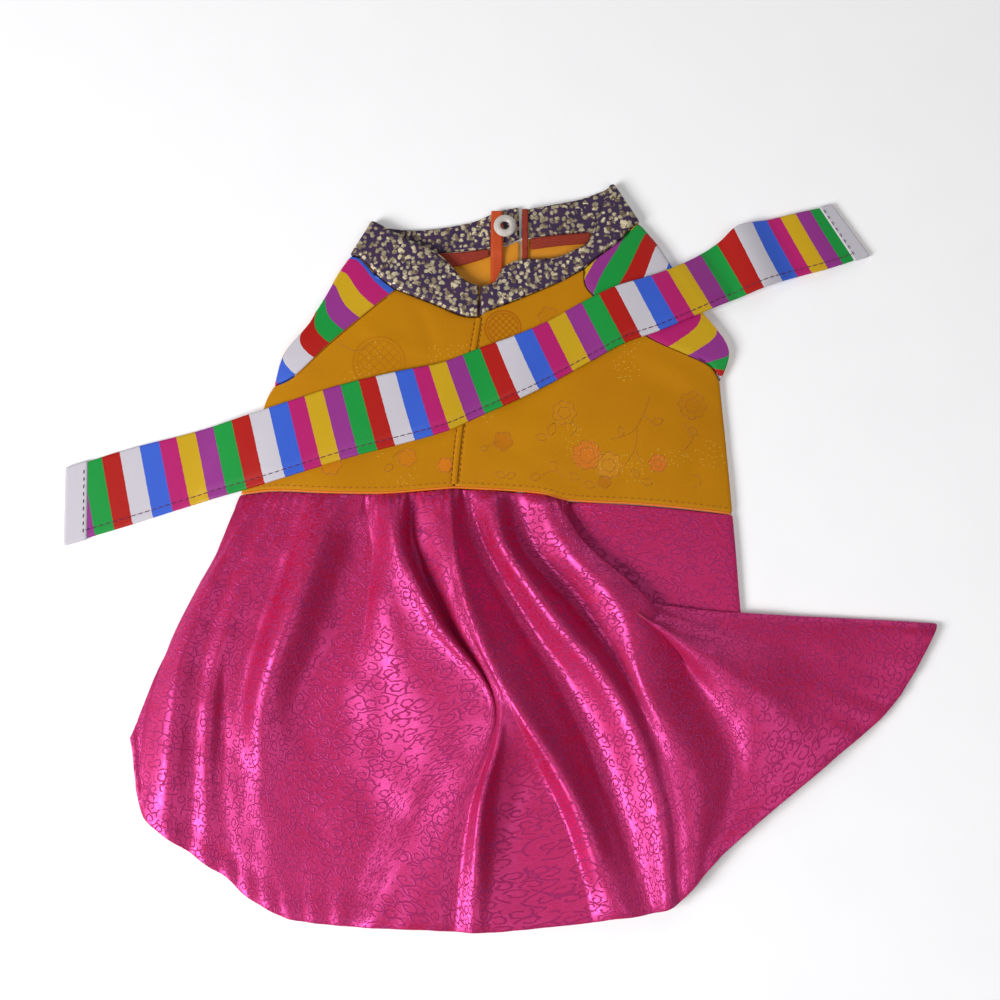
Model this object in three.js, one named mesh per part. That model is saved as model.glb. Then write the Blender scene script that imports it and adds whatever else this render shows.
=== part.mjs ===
// A small dog's hanbok dress, laid flat on its back with its front up.
// Millimetres, +Z up from the surface it lies on, +Y from hem to neck, +X to the viewer's right.
// The origin is on that surface, under the middle of the garment's box.
import * as THREE from "three";

// ---- driving dimensions -------------------------------------------------------------------
const BODICE_CLOTH = 1.2; // one lined layer
const SKIRT_CLOTH = 1.1;
const COLLAR_BAND = 2.0; // folded double
const SASH_CLOTH = 1.5; // two layers of satin
const TAPE_CLOTH = 1.0;
const SEAM_GAP = 0.3; // between neighbouring pieces
const WAIST_GAP = 0.7; // between bodice and skirt, to their middle lines
const LAYER_LIFT = BODICE_CLOTH + SEAM_GAP; // underside of the front over the back, at its edges
const EDGE_PUFF = 1.4; // how much farther a folded edge of sleeve or collar stands up
const FLAP_RADIUS = 0.73; // middle of the cloth, at the folds of the skirt's flap
const CELLS_PER_FOLD_LINE = 2; // mesh cells between one fold line of the skirt and the next
const CELLS_PER_LEVEL = 3; // and between one level and the next
const FOLD_TURNS = 4; // faces round a folded edge
// Cells along each seam: both of its pieces take the same number, so that their edges match.
const CELLS = { front: 8, raglan: 8, neck: 8, waistBack: 8, cuff: 3 };

const SNAP = { radius: 5.0, hole: 2.0, height: 1.6, base: 0.7, post: 1.5 };
const SOCKET_PLACE = { x: 3.1, y: 141.0 };
const STUD_PLACE = { x: 17.0, y: 142.0 };
const STUD_LIFT = 2.0; // the right back stands this much off the surface, over its stud
const STUD_LIFT_REACH = 30;

const COLOURS = {
  gold: { color: "#c07d10", roughness: 0.5 },
  navy: { color: "#3c2d55", roughness: 0.55 },
  pink: { color: "#c02d7c", roughness: 0.35 },
  satin: { color: "#3f8f5b", roughness: 0.4 },
  tape: { color: "#8c280f", roughness: 0.8 },
  placket: { color: "#be460a", roughness: 0.6 },
  snap: { color: "#e6e4de", roughness: 0.25 },
};

// ---- seams and edges in plan: open runs of [x, y] -----------------------------------------
const SIDE_LEFT = [[-110.9, 21.8], [-106, 42], [-101.3, 61.2], [-97.6, 68.6]];
const SIDE_RIGHT = [[100.9, 13.2], [98.9, 42], [97.4, 61], [96.6, 70.6]];
const RAGLAN_LEFT = [[-97.6, 68.6], [-88.5, 72.9], [-74, 86.7], [-61, 98], [-44.6, 111.6]];
const RAGLAN_RIGHT = [[96.6, 70.6], [92.6, 77.2], [81.3, 82.7], [66.2, 89.8], [51, 101.5],
  [39, 112], [38, 121.1]];
const CENTRE_FRONT = [[-18.8, 24.4], [-16.6, 47], [-12.6, 72], [-8.2, 99.4]];
const WAIST_LEFT = [[-110.9, 21.8], [-95.6, 23.3], [-72, 22.3], [-48.4, 22.1], [-29.1, 23.6],
  [-18.8, 24.4]];
const WAIST_RIGHT = [[-18.8, 24.4], [0.9, 23.4], [18, 22], [31, 18.9], [57.4, 17.5], [80, 15.6],
  [100.9, 13.2]];
const NECK_LEFT = [[-8.2, 99.4], [-15.7, 99.9], [-29.6, 105.7], [-44.6, 111.6]];
const NECK_RIGHT = [[-8.2, 99.4], [-4.3, 102.1], [9.6, 107.5], [27.1, 115.2], [38, 121.1]];

const SLEEVE_NECK_LEFT = [[-44.6, 111.6], [-51.6, 117], [-59.5, 125.6], [-63.1, 127.2]];
const SLEEVE_NECK_RIGHT = [[38, 121.1], [43.4, 126], [52.7, 133.3], [60.7, 141.8]];
const SHOULDER_LEFT = [[-63.1, 127.2], [-73, 111.8], [-83.4, 94.8]];
const SHOULDER_RIGHT = [[60.7, 141.8], [69.5, 130.6], [80.5, 114.5], [90.4, 99.4]];
const CUFF_LEFT = [[-97.6, 68.6], [-94.7, 79.9], [-91, 86.6], [-83.4, 94.8]];
const CUFF_RIGHT = [[96.6, 70.6], [99.8, 78], [100.8, 84], [98.3, 90], [90.4, 99.4]];
const BACK_NECK_LEFT = [[-46, 126], [-25.6, 129.2], [-1.8, 131.4], [9.7, 135.6]];
const BACK_NECK_RIGHT = [[10.2, 135.2], [27.5, 137], [45, 139.3]];
const BACK_RAGLAN_LEFT = [[-97.6, 68.6], [-72, 97], [-46, 126]];
const BACK_RAGLAN_RIGHT = [[96.6, 70.6], [68, 105], [45, 139.3]];
const CENTRE_BACK = { left: 9.8, right: 10.1, waist: 22.4, armhole: 70 };
const WAIST_BACK_LEFT = [...WAIST_LEFT.slice(0, 4), [9.8, 22.4]];
const WAIST_BACK_RIGHT = [[10.1, 22.4], ...WAIST_RIGHT.slice(3)];

const COLLAR_FREE_LEFT = [[-8.2, 113.5], [-15.3, 116.7], [-25.4, 127.5], [-40.8, 135.3],
  [-53.7, 142.7]];
const COLLAR_FREE_RIGHT = [[-7.6, 113.4], [-1.7, 114.9], [2.2, 121.6], [9.7, 125.3],
  [22.8, 125.6], [33.8, 129.8], [40.6, 135.7], [49.4, 159.7]];
const COLLAR_TOP_LEFT = [[-53.7, 142.7], [-48.7, 140.9], [-32.7, 139.9], [-12.4, 143.2],
  [0, 148.5], [9.5, 150.6]];
const COLLAR_TOP_RIGHT = [[49.4, 159.7], [45, 157.4], [32, 152.8], [10.4, 148.5]];

const TAPE_LEFT = { from: -27, to: -3.8, upper: [129.0, 131.1], lower: [121.4, 127.2] };
const TAPE_RIGHT = { from: 14.2, to: 41, upper: [135.4, 138.6], lower: [129.8, 133.3] };
const TAB = { left: -3.2, right: 2.2, top: 148.4, seam: 131.2, bottom: 112 };
const EDGE_BINDING = { left: 10.5, right: 13.4, top: 148.6, seam: 135.0, bottom: 124 };

// How the bodice swells between its folded sides: place of each side, height of the fold there
// over a plain seam, and height of the middle over that.
const SWELL = [
  { y: 0, left: -113, right: 102, edge: 0, middle: 2.3 },
  { y: 22, left: -111, right: 101, edge: 0, middle: 2.4 },
  { y: 50, left: -104, right: 98.5, edge: 0, middle: 2.7 },
  { y: 69, left: -97.6, right: 96.8, edge: 0, middle: 2.6 },
  { y: 82, left: -93, right: 100.5, edge: EDGE_PUFF, middle: 1.2 },
  { y: 96, left: -83.4, right: 93.5, edge: EDGE_PUFF, middle: 1.3 },
  { y: 112, left: -73, right: 82, edge: EDGE_PUFF, middle: 1.3 },
  { y: 127, left: -63.2, right: 72, edge: EDGE_PUFF, middle: 1.2 },
  { y: 143, left: -53.5, right: 60.3, edge: EDGE_PUFF, middle: 0.7 },
  { y: 160, left: -44, right: 49.4, edge: EDGE_PUFF, middle: 0 },
];

// The sash, from its left end to its right: its two edges, and how far each wave of it stands
// off what it lies on.
const SASH = [
  { upper: [-187, 33], lower: [-186.4, -0.4], wave: 0 },
  { upper: [-161, 41.5], lower: [-159.5, 7.7], wave: 0 },
  { upper: [-132, 49], lower: [-132.5, 16.3], wave: 0.4 },
  { upper: [-99.5, 59], lower: [-99, 25.8], wave: 0.6 },
  { upper: [-68, 69], lower: [-67, 35.8], wave: 0 },
  { upper: [-45, 74.4], lower: [-43.5, 42], wave: 0.7 },
  { upper: [-23.5, 79], lower: [-21, 48.5], wave: 0.5 },
  { upper: [-8.7, 85], lower: [-9, 54.2], wave: 0 },
  { upper: [7, 90.5], lower: [10, 62.5], wave: 1 },
  { upper: [21, 96.7], lower: [22.5, 69], wave: 0.5 },
  { upper: [35.5, 105], lower: [39.5, 78.5], wave: 0.2 },
  { upper: [50.7, 112.5], lower: [55, 87], wave: 0.8 },
  { upper: [67.5, 118], lower: [70.5, 92.7], wave: 0.3 },
  { upper: [83, 124.7], lower: [87, 100], wave: 0.4 },
  { upper: [97.5, 134], lower: [103, 107], wave: 1.8 },
  { upper: [105.5, 141], lower: [118, 113], wave: 4 },
  { upper: [120, 144.7], lower: [131.7, 118], wave: 1 },
  { upper: [132, 147.5], lower: [145, 121.5], wave: 1.6 },
  { upper: [148.6, 151.6], lower: [164.5, 128.3], wave: 0 },
];
const SASH_SLOPE_REACH = 26; // how far past the bodice it comes down to the surface

// The front of the skirt: one row for each fold line from waist to hem. x and z are at the six
// LEVELS of the line's length; y follows from the waist and hemY, unless a row gives it.
const LEVELS = [0, 0.13, 0.3, 0.5, 0.73, 1];
const SKIRT_FOLDS = [
  { line: "left side", x: [-111, -116, -122, -132, -144, -154.5], z: [2.2, 2.1, 2, 2, 2, 2],
    hemY: -82 },
  { line: "left facet", x: [-108, -114, -127, -139, -146, -148], z: [2.6, 3.4, 4, 4.5, 4.5, 3],
    hemY: -113.5 },
  { line: "left crest", x: [-104, -112, -124, -134, -137, -140], z: [3.2, 5, 7, 8.5, 8.5, 5.5],
    hemY: -121 },
  { line: "crease", x: [-97, -105.5, -117, -125, -127.5, -128], z: [3, 4.4, 5.8, 6, 5, 3],
    hemY: -129 },
  { line: "low rib", x: [-93, -100.5, -111, -119, -121.5, -119.5], z: [3.4, 4.8, 6, 6.2, 5.2, 3.4],
    hemY: -135 },
  { line: "crease", x: [-89.5, -96, -105, -114, -116.5, -112.5], z: [3.6, 4.6, 4.8, 4.2, 3.4, 2.6],
    hemY: -139 },
  { line: "ridge 1, left", x: [-83, -88, -98, -107, -108.5, -105], z: [3.6, 4.6, 4.4, 3.8, 3.4, 2.8],
    hemY: -146 },
  { line: "ridge 1", x: [-73.5, -76.5, -87, -98.5, -97.5, -88.5], z: [4.8, 9.5, 11.5, 8.2, 4.6, 3],
    hemY: -155 },
  { line: "valley A", x: [-58, -63.5, -72, -84, -85.5, -79.5], z: [3.8, 3.6, 4.6, 3.6, 3.4, 2.8],
    hemY: -157 },
  { line: "valley A, right", x: [-56, -56.5, -58.5, -66.5, -67.5, -66], hemY: -158.5,
    z: [3.4, 2.6, 2.8, 3, 3, 2.6] },
  { line: "soft ridge", x: [-52, -51, -51, -45, -46.5, -63], z: [5, 4.4, 6.6, 6.6, 3.6, 2.6],
    hemY: -158.7 },
  { line: "ridge 2", x: [-47, -43, -32, -4.2, -29, -54.5], z: [6.5, 9.5, 9.6, 11.4, 7, 4.6],
    hemY: -159 },
  { line: "ridge 2, right", x: [-40.2, -40.2, -26, -1.8, -18, -28], z: [6, 8.5, 12, 12.2, 9.4, 5],
    hemY: -160 },
  { line: "valley B", x: [-37, -36.7, -22.4, -0.8, -11.5, -19], z: [3.6, 3, 6, 11.6, 9, 3.6],
    hemY: -160.7 },
  { line: "ridge 3, left", x: [-34.7, -32, -20, 0.2, -9, -14], z: [4.4, 4.6, 7.4, 12.8, 11, 5],
    hemY: -160.8 },
  { line: "ridge 3, left branch", x: [-27.3, -25.3, -17, 1.4, -7.3, -9.8], hemY: -160.9,
    z: [6.2, 8, 10, 13.6, 12, 5.5] },
  { line: "hollow, left", x: [-24.4, -22.4, -14.7, 3, -0.3, -1.2], hemY: -160.9,
    z: [6.6, 9, 11.4, 14, 6.4, 4.4] },
  { line: "hollow, right", x: [-22.2, -20.6, -13.1, 4.4, 23.8, 38], hemY: -157.5,
    z: [6.8, 9.8, 12.6, 14.4, 2.6, 2.2] },
  { line: "ridge 3, right branch", x: [-20.3, -19, -11.5, 5.9, 30.5, 48.5], hemY: -155.5,
    z: [6.8, 10, 13.2, 14.6, 10.5, 5] },
  { line: "valley D", x: [-16.2, -13.7, 0, 20, 41, 58.5], z: [4.4, 5, 6.8, 8.4, 6, 4],
    hemY: -154.6 },
  { line: "ridge 4, left", x: [-13.8, -7, 9.8, 32, 47.7, 64.5], z: [3.4, 2.6, 3.2, 3.6, 3.6, 3.2],
    hemY: -153.4 },
  { line: "ridge 4", x: [-3.4, 1.6, 21.4, 49.4, 64.8, 70.6], z: [6.6, 9.4, 11.6, 12.6, 10.5, 6],
    hemY: -151.5 },
  { line: "valley E", x: [6.9, 11.2, 35.8, 56.8, 70.2, 75], z: [3.4, 2.6, 3.4, 9.4, 9.4, 5],
    hemY: -148.8 },
  { line: "ridge 5", x: [18, 27.6, 52, 61, 80.5, 79], z: [6.8, 9.4, 11, 12.4, 10.8, 5.8],
    hemY: -144.8 },
  { line: "flap valley", x: [24.5, 36, 64, 80.7, 98.8, 92.7], z: [5.8, 8, 8, 6.5, 6, 5.2],
    hemY: -130 },
  { line: "flap ridge", x: [27.4, 30.3, 39, 66, 103, 141.7], z: [5.4, 7, 9, 11, 11, 5],
    hemY: -89.7 },
  { line: "flap, upper", x: [28.4, 29.9, 34, 48, 101.7, 167], z: [5.2, 6, 7, 8.5, 8, 3],
    hemY: -68 },
  { line: "flap edge", turn: "right", x: [30, 29.9, 30.1, 36.7, 60.3, 186.9],
    y: [10, -0.7, -13.5, -24.6], z: [4.15, 4.15, 4.15, 4.15, 4.15, 1.4], hemY: -34.5 },
  { line: "under the flap", x: [25, 27.9, 39, 64.4, 100, 143], y: [6.7, -15.6, -41, -62],
    z: [3.4, 3.4, 3.4, 3.4, 3.4, 0.8], hemY: -85 },
  { line: "inner fold", turn: "left", x: [18.5, 22, 46, 64.2, 80.3, 81.3],
    y: [-1.4, -30, -64, -103.4], z: [2.72, 2.72, 2.72, 2.72, 2.72, 2.72], hemY: -135 },
  { line: "flat side, left", x: [29.3, 29.6, 43.5, 66.4, 84.7, 86], y: [-0.5, -27, -62, -95],
    z: [2, 2, 2, 2, 2, 2], hemY: -131 },
  { line: "flat side", x: [39.5, 40.3, 48.6, 69.3, 86.8, 90.3], y: [-0.5, -27, -62, -95],
    z: [3.9, 3.2, 2, 2, 2, 2], hemY: -128 },
  { line: "flat side", x: [69.6, 71, 72.5, 81.2, 91, 98.7], y: [-0.5, -24, -58, -91],
    z: [3.4, 3, 2, 2, 2, 2], hemY: -124.7 },
  { line: "right side", x: [101, 102, 103.2, 105.4, 107.2, 108], y: [-2.6, -24, -53.6, -85],
    z: [2.1, 2.1, 2, 2, 2, 2], hemY: -116.5 },
];

// The back of the skirt lies flat under it: its two sides and its hem.
const SKIRT_BACK = {
  past: [109, 125], // where the front comes down beside it
  left: [[-111, 21.2], [-122, -10], [-137, -42], [-152.5, -82], [-145.5, -113]],
  right: [[101, 12.6], [103.2, -24], [105.4, -54], [107.5, -115]],
  hem: [[-145.5, -113], [-117, -134], [-90, -152], [-40, -157], [10, -157], [60, -151.5],
    [84, -134], [107.5, -115]],
};

// ---- curves and patches -------------------------------------------------------------------
const { lerp, smoothstep } = THREE.MathUtils;

/** A smooth curve through a run of plan points, walked at even speed. */
function curve(points) {
  const spline = new THREE.SplineCurve(points.map(([x, y]) => new THREE.Vector2(x, y)));
  return (t) => spline.getPointAt(t);
}

/** Runs end to end, each with the same share of the way. */
function chain(...runs) {
  const curves = runs.map(curve);
  return (t) => {
    const n = Math.min(Math.floor(t * curves.length), curves.length - 1);
    return curves[n](t * curves.length - n);
  };
}

const backwards = (run) => [...run].reverse();

/** The plan point at (u, v) of a patch stretched between four edges. */
function patch(left, right, bottom, top) {
  const blend = (u, v, pick) =>
    (1 - u) * pick(left(v)) + u * pick(right(v)) + (1 - v) * pick(bottom(u)) + v * pick(top(u)) -
    (1 - u) * (1 - v) * pick(left(0)) - u * (1 - v) * pick(right(0)) -
    (1 - u) * v * pick(left(1)) - u * v * pick(right(1));
  return (u, v) => new THREE.Vector2(blend(u, v, (p) => p.x), blend(u, v, (p) => p.y));
}

/** The plan point at (u, v) of a strip ruled between two curves. */
const strip = (low, high) => (u, v) => low(u).lerp(high(u), v);

/** A value of a table's column at y, with straight steps between the rows. */
function at(table, column, y) {
  const next = table.findIndex((row) => row.y >= y);
  if (next === 0) return table[0][column];
  if (next < 0) return table[table.length - 1][column];
  const [a, b] = [table[next - 1], table[next]];
  return lerp(a[column], b[column], (y - a.y) / (b.y - a.y));
}

/** How far the front of the bodice stands over its lowest place, at a plan point. */
function swell(x, y) {
  const [left, right] = [at(SWELL, "left", y), at(SWELL, "right", y)];
  const across = THREE.MathUtils.clamp((2 * x - left - right) / (right - left), -1, 1);
  return at(SWELL, "edge", y) + at(SWELL, "middle", y) * (1 - across ** 6);
}

/** The top of whatever the sash lies on. */
function underSash(x, y) {
  const outside = Math.max(at(SWELL, "left", y) - x, x - at(SWELL, "right", y), 0);
  const slope = 1 - smoothstep(outside, 0, SASH_SLOPE_REACH);
  return (LAYER_LIFT + swell(x, y) + BODICE_CLOTH) * slope;
}

/** The right back is lifted off the surface round its stud. */
function studLift(x, y) {
  if (x < (CENTRE_BACK.left + CENTRE_BACK.right) / 2) return 0;
  const distance = Math.hypot(x - STUD_PLACE.x, y - STUD_PLACE.y);
  return STUD_LIFT * (1 - smoothstep(distance, SNAP.radius + 2, STUD_LIFT_REACH));
}

// ---- cloth walls --------------------------------------------------------------------------
const towards = (from, to) => to.clone().sub(from).normalize();

/** A grid of middle points of the cloth: place(u, v) for across by along cells. */
function grid(across, along, place) {
  return Array.from({ length: along + 1 }, (_, j) =>
    Array.from({ length: across + 1 }, (_, i) => place(i / across, j / along)));
}

/** The grid with its border drawn in, so that seams keep their gap. */
function drawnIn(rows, cut) {
  const [lastRow, last] = [rows.length - 1, rows[0].length - 1];
  return rows.map((row, j) => row.map((point, i) => {
    const inward = new THREE.Vector3();
    if (i === 0) inward.add(towards(point, row[1]));
    if (i === last) inward.add(towards(point, row[last - 1]));
    if (j === 0) inward.add(towards(point, rows[1][i]));
    if (j === lastRow) inward.add(towards(point, rows[lastRow - 1][i]));
    return point.clone().addScaledVector(inward, cut);
  }));
}

/** The direction along a line of points at one of them, halving the turn there. */
function heading(before, here, after) {
  const way = new THREE.Vector3();
  if (before) way.add(towards(before, here));
  if (after) way.add(towards(here, after));
  return way;
}

/** A closed wall of even thickness about a grid of middle points; a level one is thick along Z. */
function wall(middles, thickness, level = false) {
  const rows = drawnIn(middles, SEAM_GAP / 2);
  const [height, width] = [rows.length, rows[0].length];
  const skins = [[], []];
  rows.forEach((row, j) => row.forEach((point, i) => {
    const across = heading(row[i - 1], point, row[i + 1]);
    const along = heading(rows[j - 1]?.[i], point, rows[j + 1]?.[i]);
    const out = across.cross(along).normalize();
    if (level) out.set(0, 0, Math.sign(out.z));
    skins[0].push(point.clone().addScaledVector(out, thickness / 2));
    skins[1].push(point.clone().addScaledVector(out, -thickness / 2));
  }));
  const faces = [];
  const quad = (a, b, c, d) => faces.push(a, b, c, a, c, d);
  const back = height * width;
  const id = (j, i) => j * width + i;
  for (let j = 0; j + 1 < height; j++) {
    for (let i = 0; i + 1 < width; i++) {
      const corners = [id(j, i), id(j, i + 1), id(j + 1, i + 1), id(j + 1, i)];
      quad(...corners);
      quad(...corners.reverse().map((n) => n + back));
    }
  }
  for (let i = 0; i + 1 < width; i++) {
    quad(id(0, i + 1), id(0, i), id(0, i) + back, id(0, i + 1) + back);
    const end = height - 1;
    quad(id(end, i), id(end, i + 1), id(end, i + 1) + back, id(end, i) + back);
  }
  for (let j = 0; j + 1 < height; j++) {
    quad(id(j, 0), id(j + 1, 0), id(j + 1, 0) + back, id(j, 0) + back);
    const end = width - 1;
    quad(id(j + 1, end), id(j, end), id(j, end) + back, id(j + 1, end) + back);
  }
  const geometry = new THREE.BufferGeometry().setFromPoints(skins.flat());
  geometry.setIndex(faces);
  geometry.computeVertexNormals();
  return geometry;
}

/** Middle points of a piece folded back under itself: an upper layer that reaches the fold at
 *  u = 1, a half turn round it, and a lower layer that leaves it at u = 0. */
function foldedGrid({ upper, lower, along, upperCells, lowerCells }) {
  return Array.from({ length: along + 1 }, (_, j) => {
    const v = j / along;
    const top = Array.from({ length: upperCells + 1 }, (_, i) => upper(i / upperCells, v));
    const under = Array.from({ length: lowerCells + 1 }, (_, i) => lower(i / lowerCells, v));
    const [from, to] = [top[upperCells], under[0]];
    const radius = (from.z - to.z) / 2;
    const outward = towards(under[1], to).setZ(0).normalize();
    const turn = Array.from({ length: FOLD_TURNS - 1 }, (_, k) => {
      const angle = (Math.PI * (k + 1)) / FOLD_TURNS;
      const point = from.clone().lerp(to, (1 - Math.cos(angle)) / 2);
      return point.addScaledVector(outward, radius * Math.sin(angle));
    });
    return [...top, ...turn, ...under];
  });
}

/** Puts a plan point of a front layer at its height. */
function overBodice(plan, thickness) {
  return new THREE.Vector3(plan.x, plan.y, LAYER_LIFT + swell(plan.x, plan.y) + thickness / 2);
}

/** Puts a plan point of a back layer at its height. */
function onSurface(plan, thickness) {
  return new THREE.Vector3(plan.x, plan.y, studLift(plan.x, plan.y) + thickness / 2);
}

// ---- pieces -------------------------------------------------------------------------------
function bodiceFront(side, centre, waist, neck) {
  const plan = patch(side, centre, waist, neck);
  return wall(grid(CELLS.front, 2 * CELLS.raglan,
    (u, v) => overBodice(plan(u, v), BODICE_CLOTH)), BODICE_CLOTH, true);
}

function bodiceBack(left, right, waist, neck) {
  const plan = patch(left, right, waist, neck);
  return wall(grid(CELLS.waistBack, 2 * CELLS.raglan,
    (u, v) => onSurface(plan(u, v), BODICE_CLOTH)), BODICE_CLOTH, true);
}

function centreBack(x, neckY) {
  const { waist, armhole } = CENTRE_BACK;
  return chain([[x, waist], [x, armhole]], [[x, armhole], [x, neckY]]);
}

function collar(seamFront, freeFront, seamBack, freeBack) {
  const front = strip(seamFront, freeFront);
  const back = strip(seamBack, freeBack);
  return wall(foldedGrid({
    upper: (u, v) => overBodice(front(u, v), COLLAR_BAND),
    lower: (u, v) => onSurface(back(u, v), COLLAR_BAND),
    along: 4,
    upperCells: 2 * CELLS.neck,
    lowerCells: 2 * CELLS.waistBack,
  }), COLLAR_BAND);
}

function sleeve({ raglan, shoulder, neck, cuff, backRaglan, backNeck }) {
  const front = patch(curve(backwards(raglan)), curve(shoulder), curve(neck), curve(cuff));
  const back = patch(curve(shoulder), curve(backwards(backRaglan)), curve(backNeck),
    curve(backwards(cuff)));
  return wall(foldedGrid({
    upper: (u, v) => overBodice(front(u, v), BODICE_CLOTH),
    lower: (u, v) => onSurface(back(u, v), BODICE_CLOTH),
    along: CELLS.raglan,
    upperCells: CELLS.neck,
    lowerCells: CELLS.cuff,
  }), BODICE_CLOTH);
}

function sash() {
  const edge = (side) => new THREE.CatmullRomCurve3(SASH.map((row) =>
    new THREE.Vector3(...row[side], row.wave)));
  const [upper, lower] = [edge("upper"), edge("lower")];
  const place = (u, v) => {
    const point = lower.getPoint(u).lerp(upper.getPoint(u), v);
    point.z += underSash(point.x, point.y) + SASH_CLOTH / 2;
    if (point.z > SASH_CLOTH) point.z += SEAM_GAP;
    return point;
  };
  return wall(grid(2 * (SASH.length - 1), 4, place), SASH_CLOTH);
}

/** A strip of tape, a facing or a binding on the inside of the back. */
function backStrip(cells, place) {
  return wall(grid(...cells, (u, v) => {
    const { x, y, rise } = place(u, v);
    return new THREE.Vector3(x, y, studLift(x, y) + rise + SEAM_GAP + TAPE_CLOTH / 2);
  }), TAPE_CLOTH, true);
}

function neckTape({ from, to, upper, lower }) {
  return backStrip([6, 1], (u, v) => ({
    x: lerp(from, to, u),
    y: lerp(lerp(...lower, u), lerp(...upper, u), v),
    rise: BODICE_CLOTH,
  }));
}

/** An upright strip that steps down from the collar band to the bodice below the neck seam. */
function uprightStrip({ left, right, top, seam, bottom }) {
  const stops = [bottom, (bottom + seam) / 2, seam - 3, seam - 0.4, (seam + top) / 2, top];
  return backStrip([2, stops.length - 1], (u, v) => {
    const n = Math.round(v * (stops.length - 1));
    return { x: lerp(left, right, u), y: stops[n], rise: n < 3 ? BODICE_CLOTH : COLLAR_BAND };
  });
}

// ---- the skirt ----------------------------------------------------------------------------
function waistY(x) {
  const line = [...WAIST_LEFT, ...WAIST_RIGHT.slice(1)].map(([px, py]) => ({ y: px, waist: py }));
  return at(line, "waist", x) - WAIST_GAP;
}

/** A fold line's points at the LEVELS. */
function foldLine({ x, y, z, hemY }) {
  const top = waistY(x[0]);
  return LEVELS.map((level, k) => {
    const given = y && k > 0 && k < LEVELS.length - 1;
    return new THREE.Vector3(x[k], given ? y[k - 1] : lerp(top, hemY, level), z[k]);
  });
}

/** Where the cloth turns back on itself, one row becomes three, round the fold. */
function turnedLines(row) {
  const edge = foldLine(row);
  const sign = row.turn === "right" ? 1 : -1;
  const inset = (rise) => edge.map((point, k) => {
    const way = heading(edge[k - 1], point, edge[k + 1]);
    const inward = new THREE.Vector3(way.y, -way.x, 0).normalize();
    return point.clone().addScaledVector(inward, FLAP_RADIUS * sign).setZ(point.z + rise);
  });
  return [inset(FLAP_RADIUS), edge, inset(-FLAP_RADIUS)];
}

/** The lowest the middle of the front cloth goes: on the back of the skirt, or past it on the
 *  surface. */
function skirtFloor(x) {
  const onBack = SKIRT_CLOTH + SEAM_GAP + SKIRT_CLOTH / 2;
  return lerp(onBack, SKIRT_CLOTH / 2, smoothstep(x, ...SKIRT_BACK.past));
}

function skirtFront() {
  const lines = SKIRT_FOLDS.flatMap((row) => (row.turn ? turnedLines(row) : [foldLine(row)]));
  const lengthwise = lines.map((points) => new THREE.CatmullRomCurve3(points));
  const across = CELLS_PER_FOLD_LINE * (lines.length - 1);
  const along = CELLS_PER_LEVEL * (LEVELS.length - 1);
  const rows = Array.from({ length: along + 1 }, (_, j) => {
    const section = new THREE.CatmullRomCurve3(lengthwise.map((c) => c.getPoint(j / along)));
    return Array.from({ length: across + 1 }, (_, i) => {
      const point = section.getPoint(i / across);
      return point.setZ(Math.max(point.z, skirtFloor(point.x)));
    });
  });
  return wall(rows, SKIRT_CLOTH);
}

function skirtBack() {
  const plan = patch(curve(SKIRT_BACK.left), curve(SKIRT_BACK.right),
    chain(WAIST_BACK_LEFT, WAIST_BACK_RIGHT), curve(SKIRT_BACK.hem));
  return wall(grid(2 * CELLS.waistBack, 7, (u, v) => {
    const { x, y } = plan(u, v);
    return new THREE.Vector3(x, y - SEAM_GAP, SKIRT_CLOTH / 2);
  }), SKIRT_CLOTH, true);
}

// ---- the snap -----------------------------------------------------------------------------
function turned(profile) {
  const geometry = new THREE.LatheGeometry(profile.map((p) => new THREE.Vector2(...p)), 28);
  return geometry.rotateX(Math.PI / 2);
}

function snapSocket() {
  const { radius, hole, height } = SNAP;
  return turned([[hole, 0], [radius - 0.4, 0], [radius, 0.5], [radius - 0.6, height * 0.7],
    [radius - 1.6, height], [hole + 0.5, height], [hole, height - 0.4], [hole, 0]]);
}

function snapStud() {
  const { radius, base, post, height } = SNAP;
  return turned([[0, 0], [post, 0], [post + 0.2, (height - base) / 2], [post, height - base],
    [radius - 0.5, height - base], [radius, height], [0, height]]);
}

// ---- the garment --------------------------------------------------------------------------
const garment = new THREE.Group();

function add(name, geometry, finish, place = [0, 0, 0]) {
  const mesh = new THREE.Mesh(geometry, new THREE.MeshStandardMaterial(COLOURS[finish]));
  mesh.name = name;
  mesh.position.set(...place);
  garment.add(mesh);
}

const centreFront = chain(CENTRE_FRONT.slice(0, 3), CENTRE_FRONT.slice(2));

add("front_left", bodiceFront(chain(SIDE_LEFT, RAGLAN_LEFT), centreFront, curve(WAIST_LEFT),
  curve(backwards(NECK_LEFT))), "gold");
add("front_right", bodiceFront(centreFront, chain(SIDE_RIGHT, RAGLAN_RIGHT), curve(WAIST_RIGHT),
  curve(NECK_RIGHT)), "gold");
add("back_left", bodiceBack(chain(SIDE_LEFT, BACK_RAGLAN_LEFT),
  centreBack(CENTRE_BACK.left, BACK_NECK_LEFT[3][1]), curve(WAIST_BACK_LEFT),
  curve(BACK_NECK_LEFT)), "gold");
add("back_right", bodiceBack(centreBack(CENTRE_BACK.right, BACK_NECK_RIGHT[0][1]),
  chain(SIDE_RIGHT, BACK_RAGLAN_RIGHT), curve(WAIST_BACK_RIGHT), curve(BACK_NECK_RIGHT)), "gold");

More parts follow.
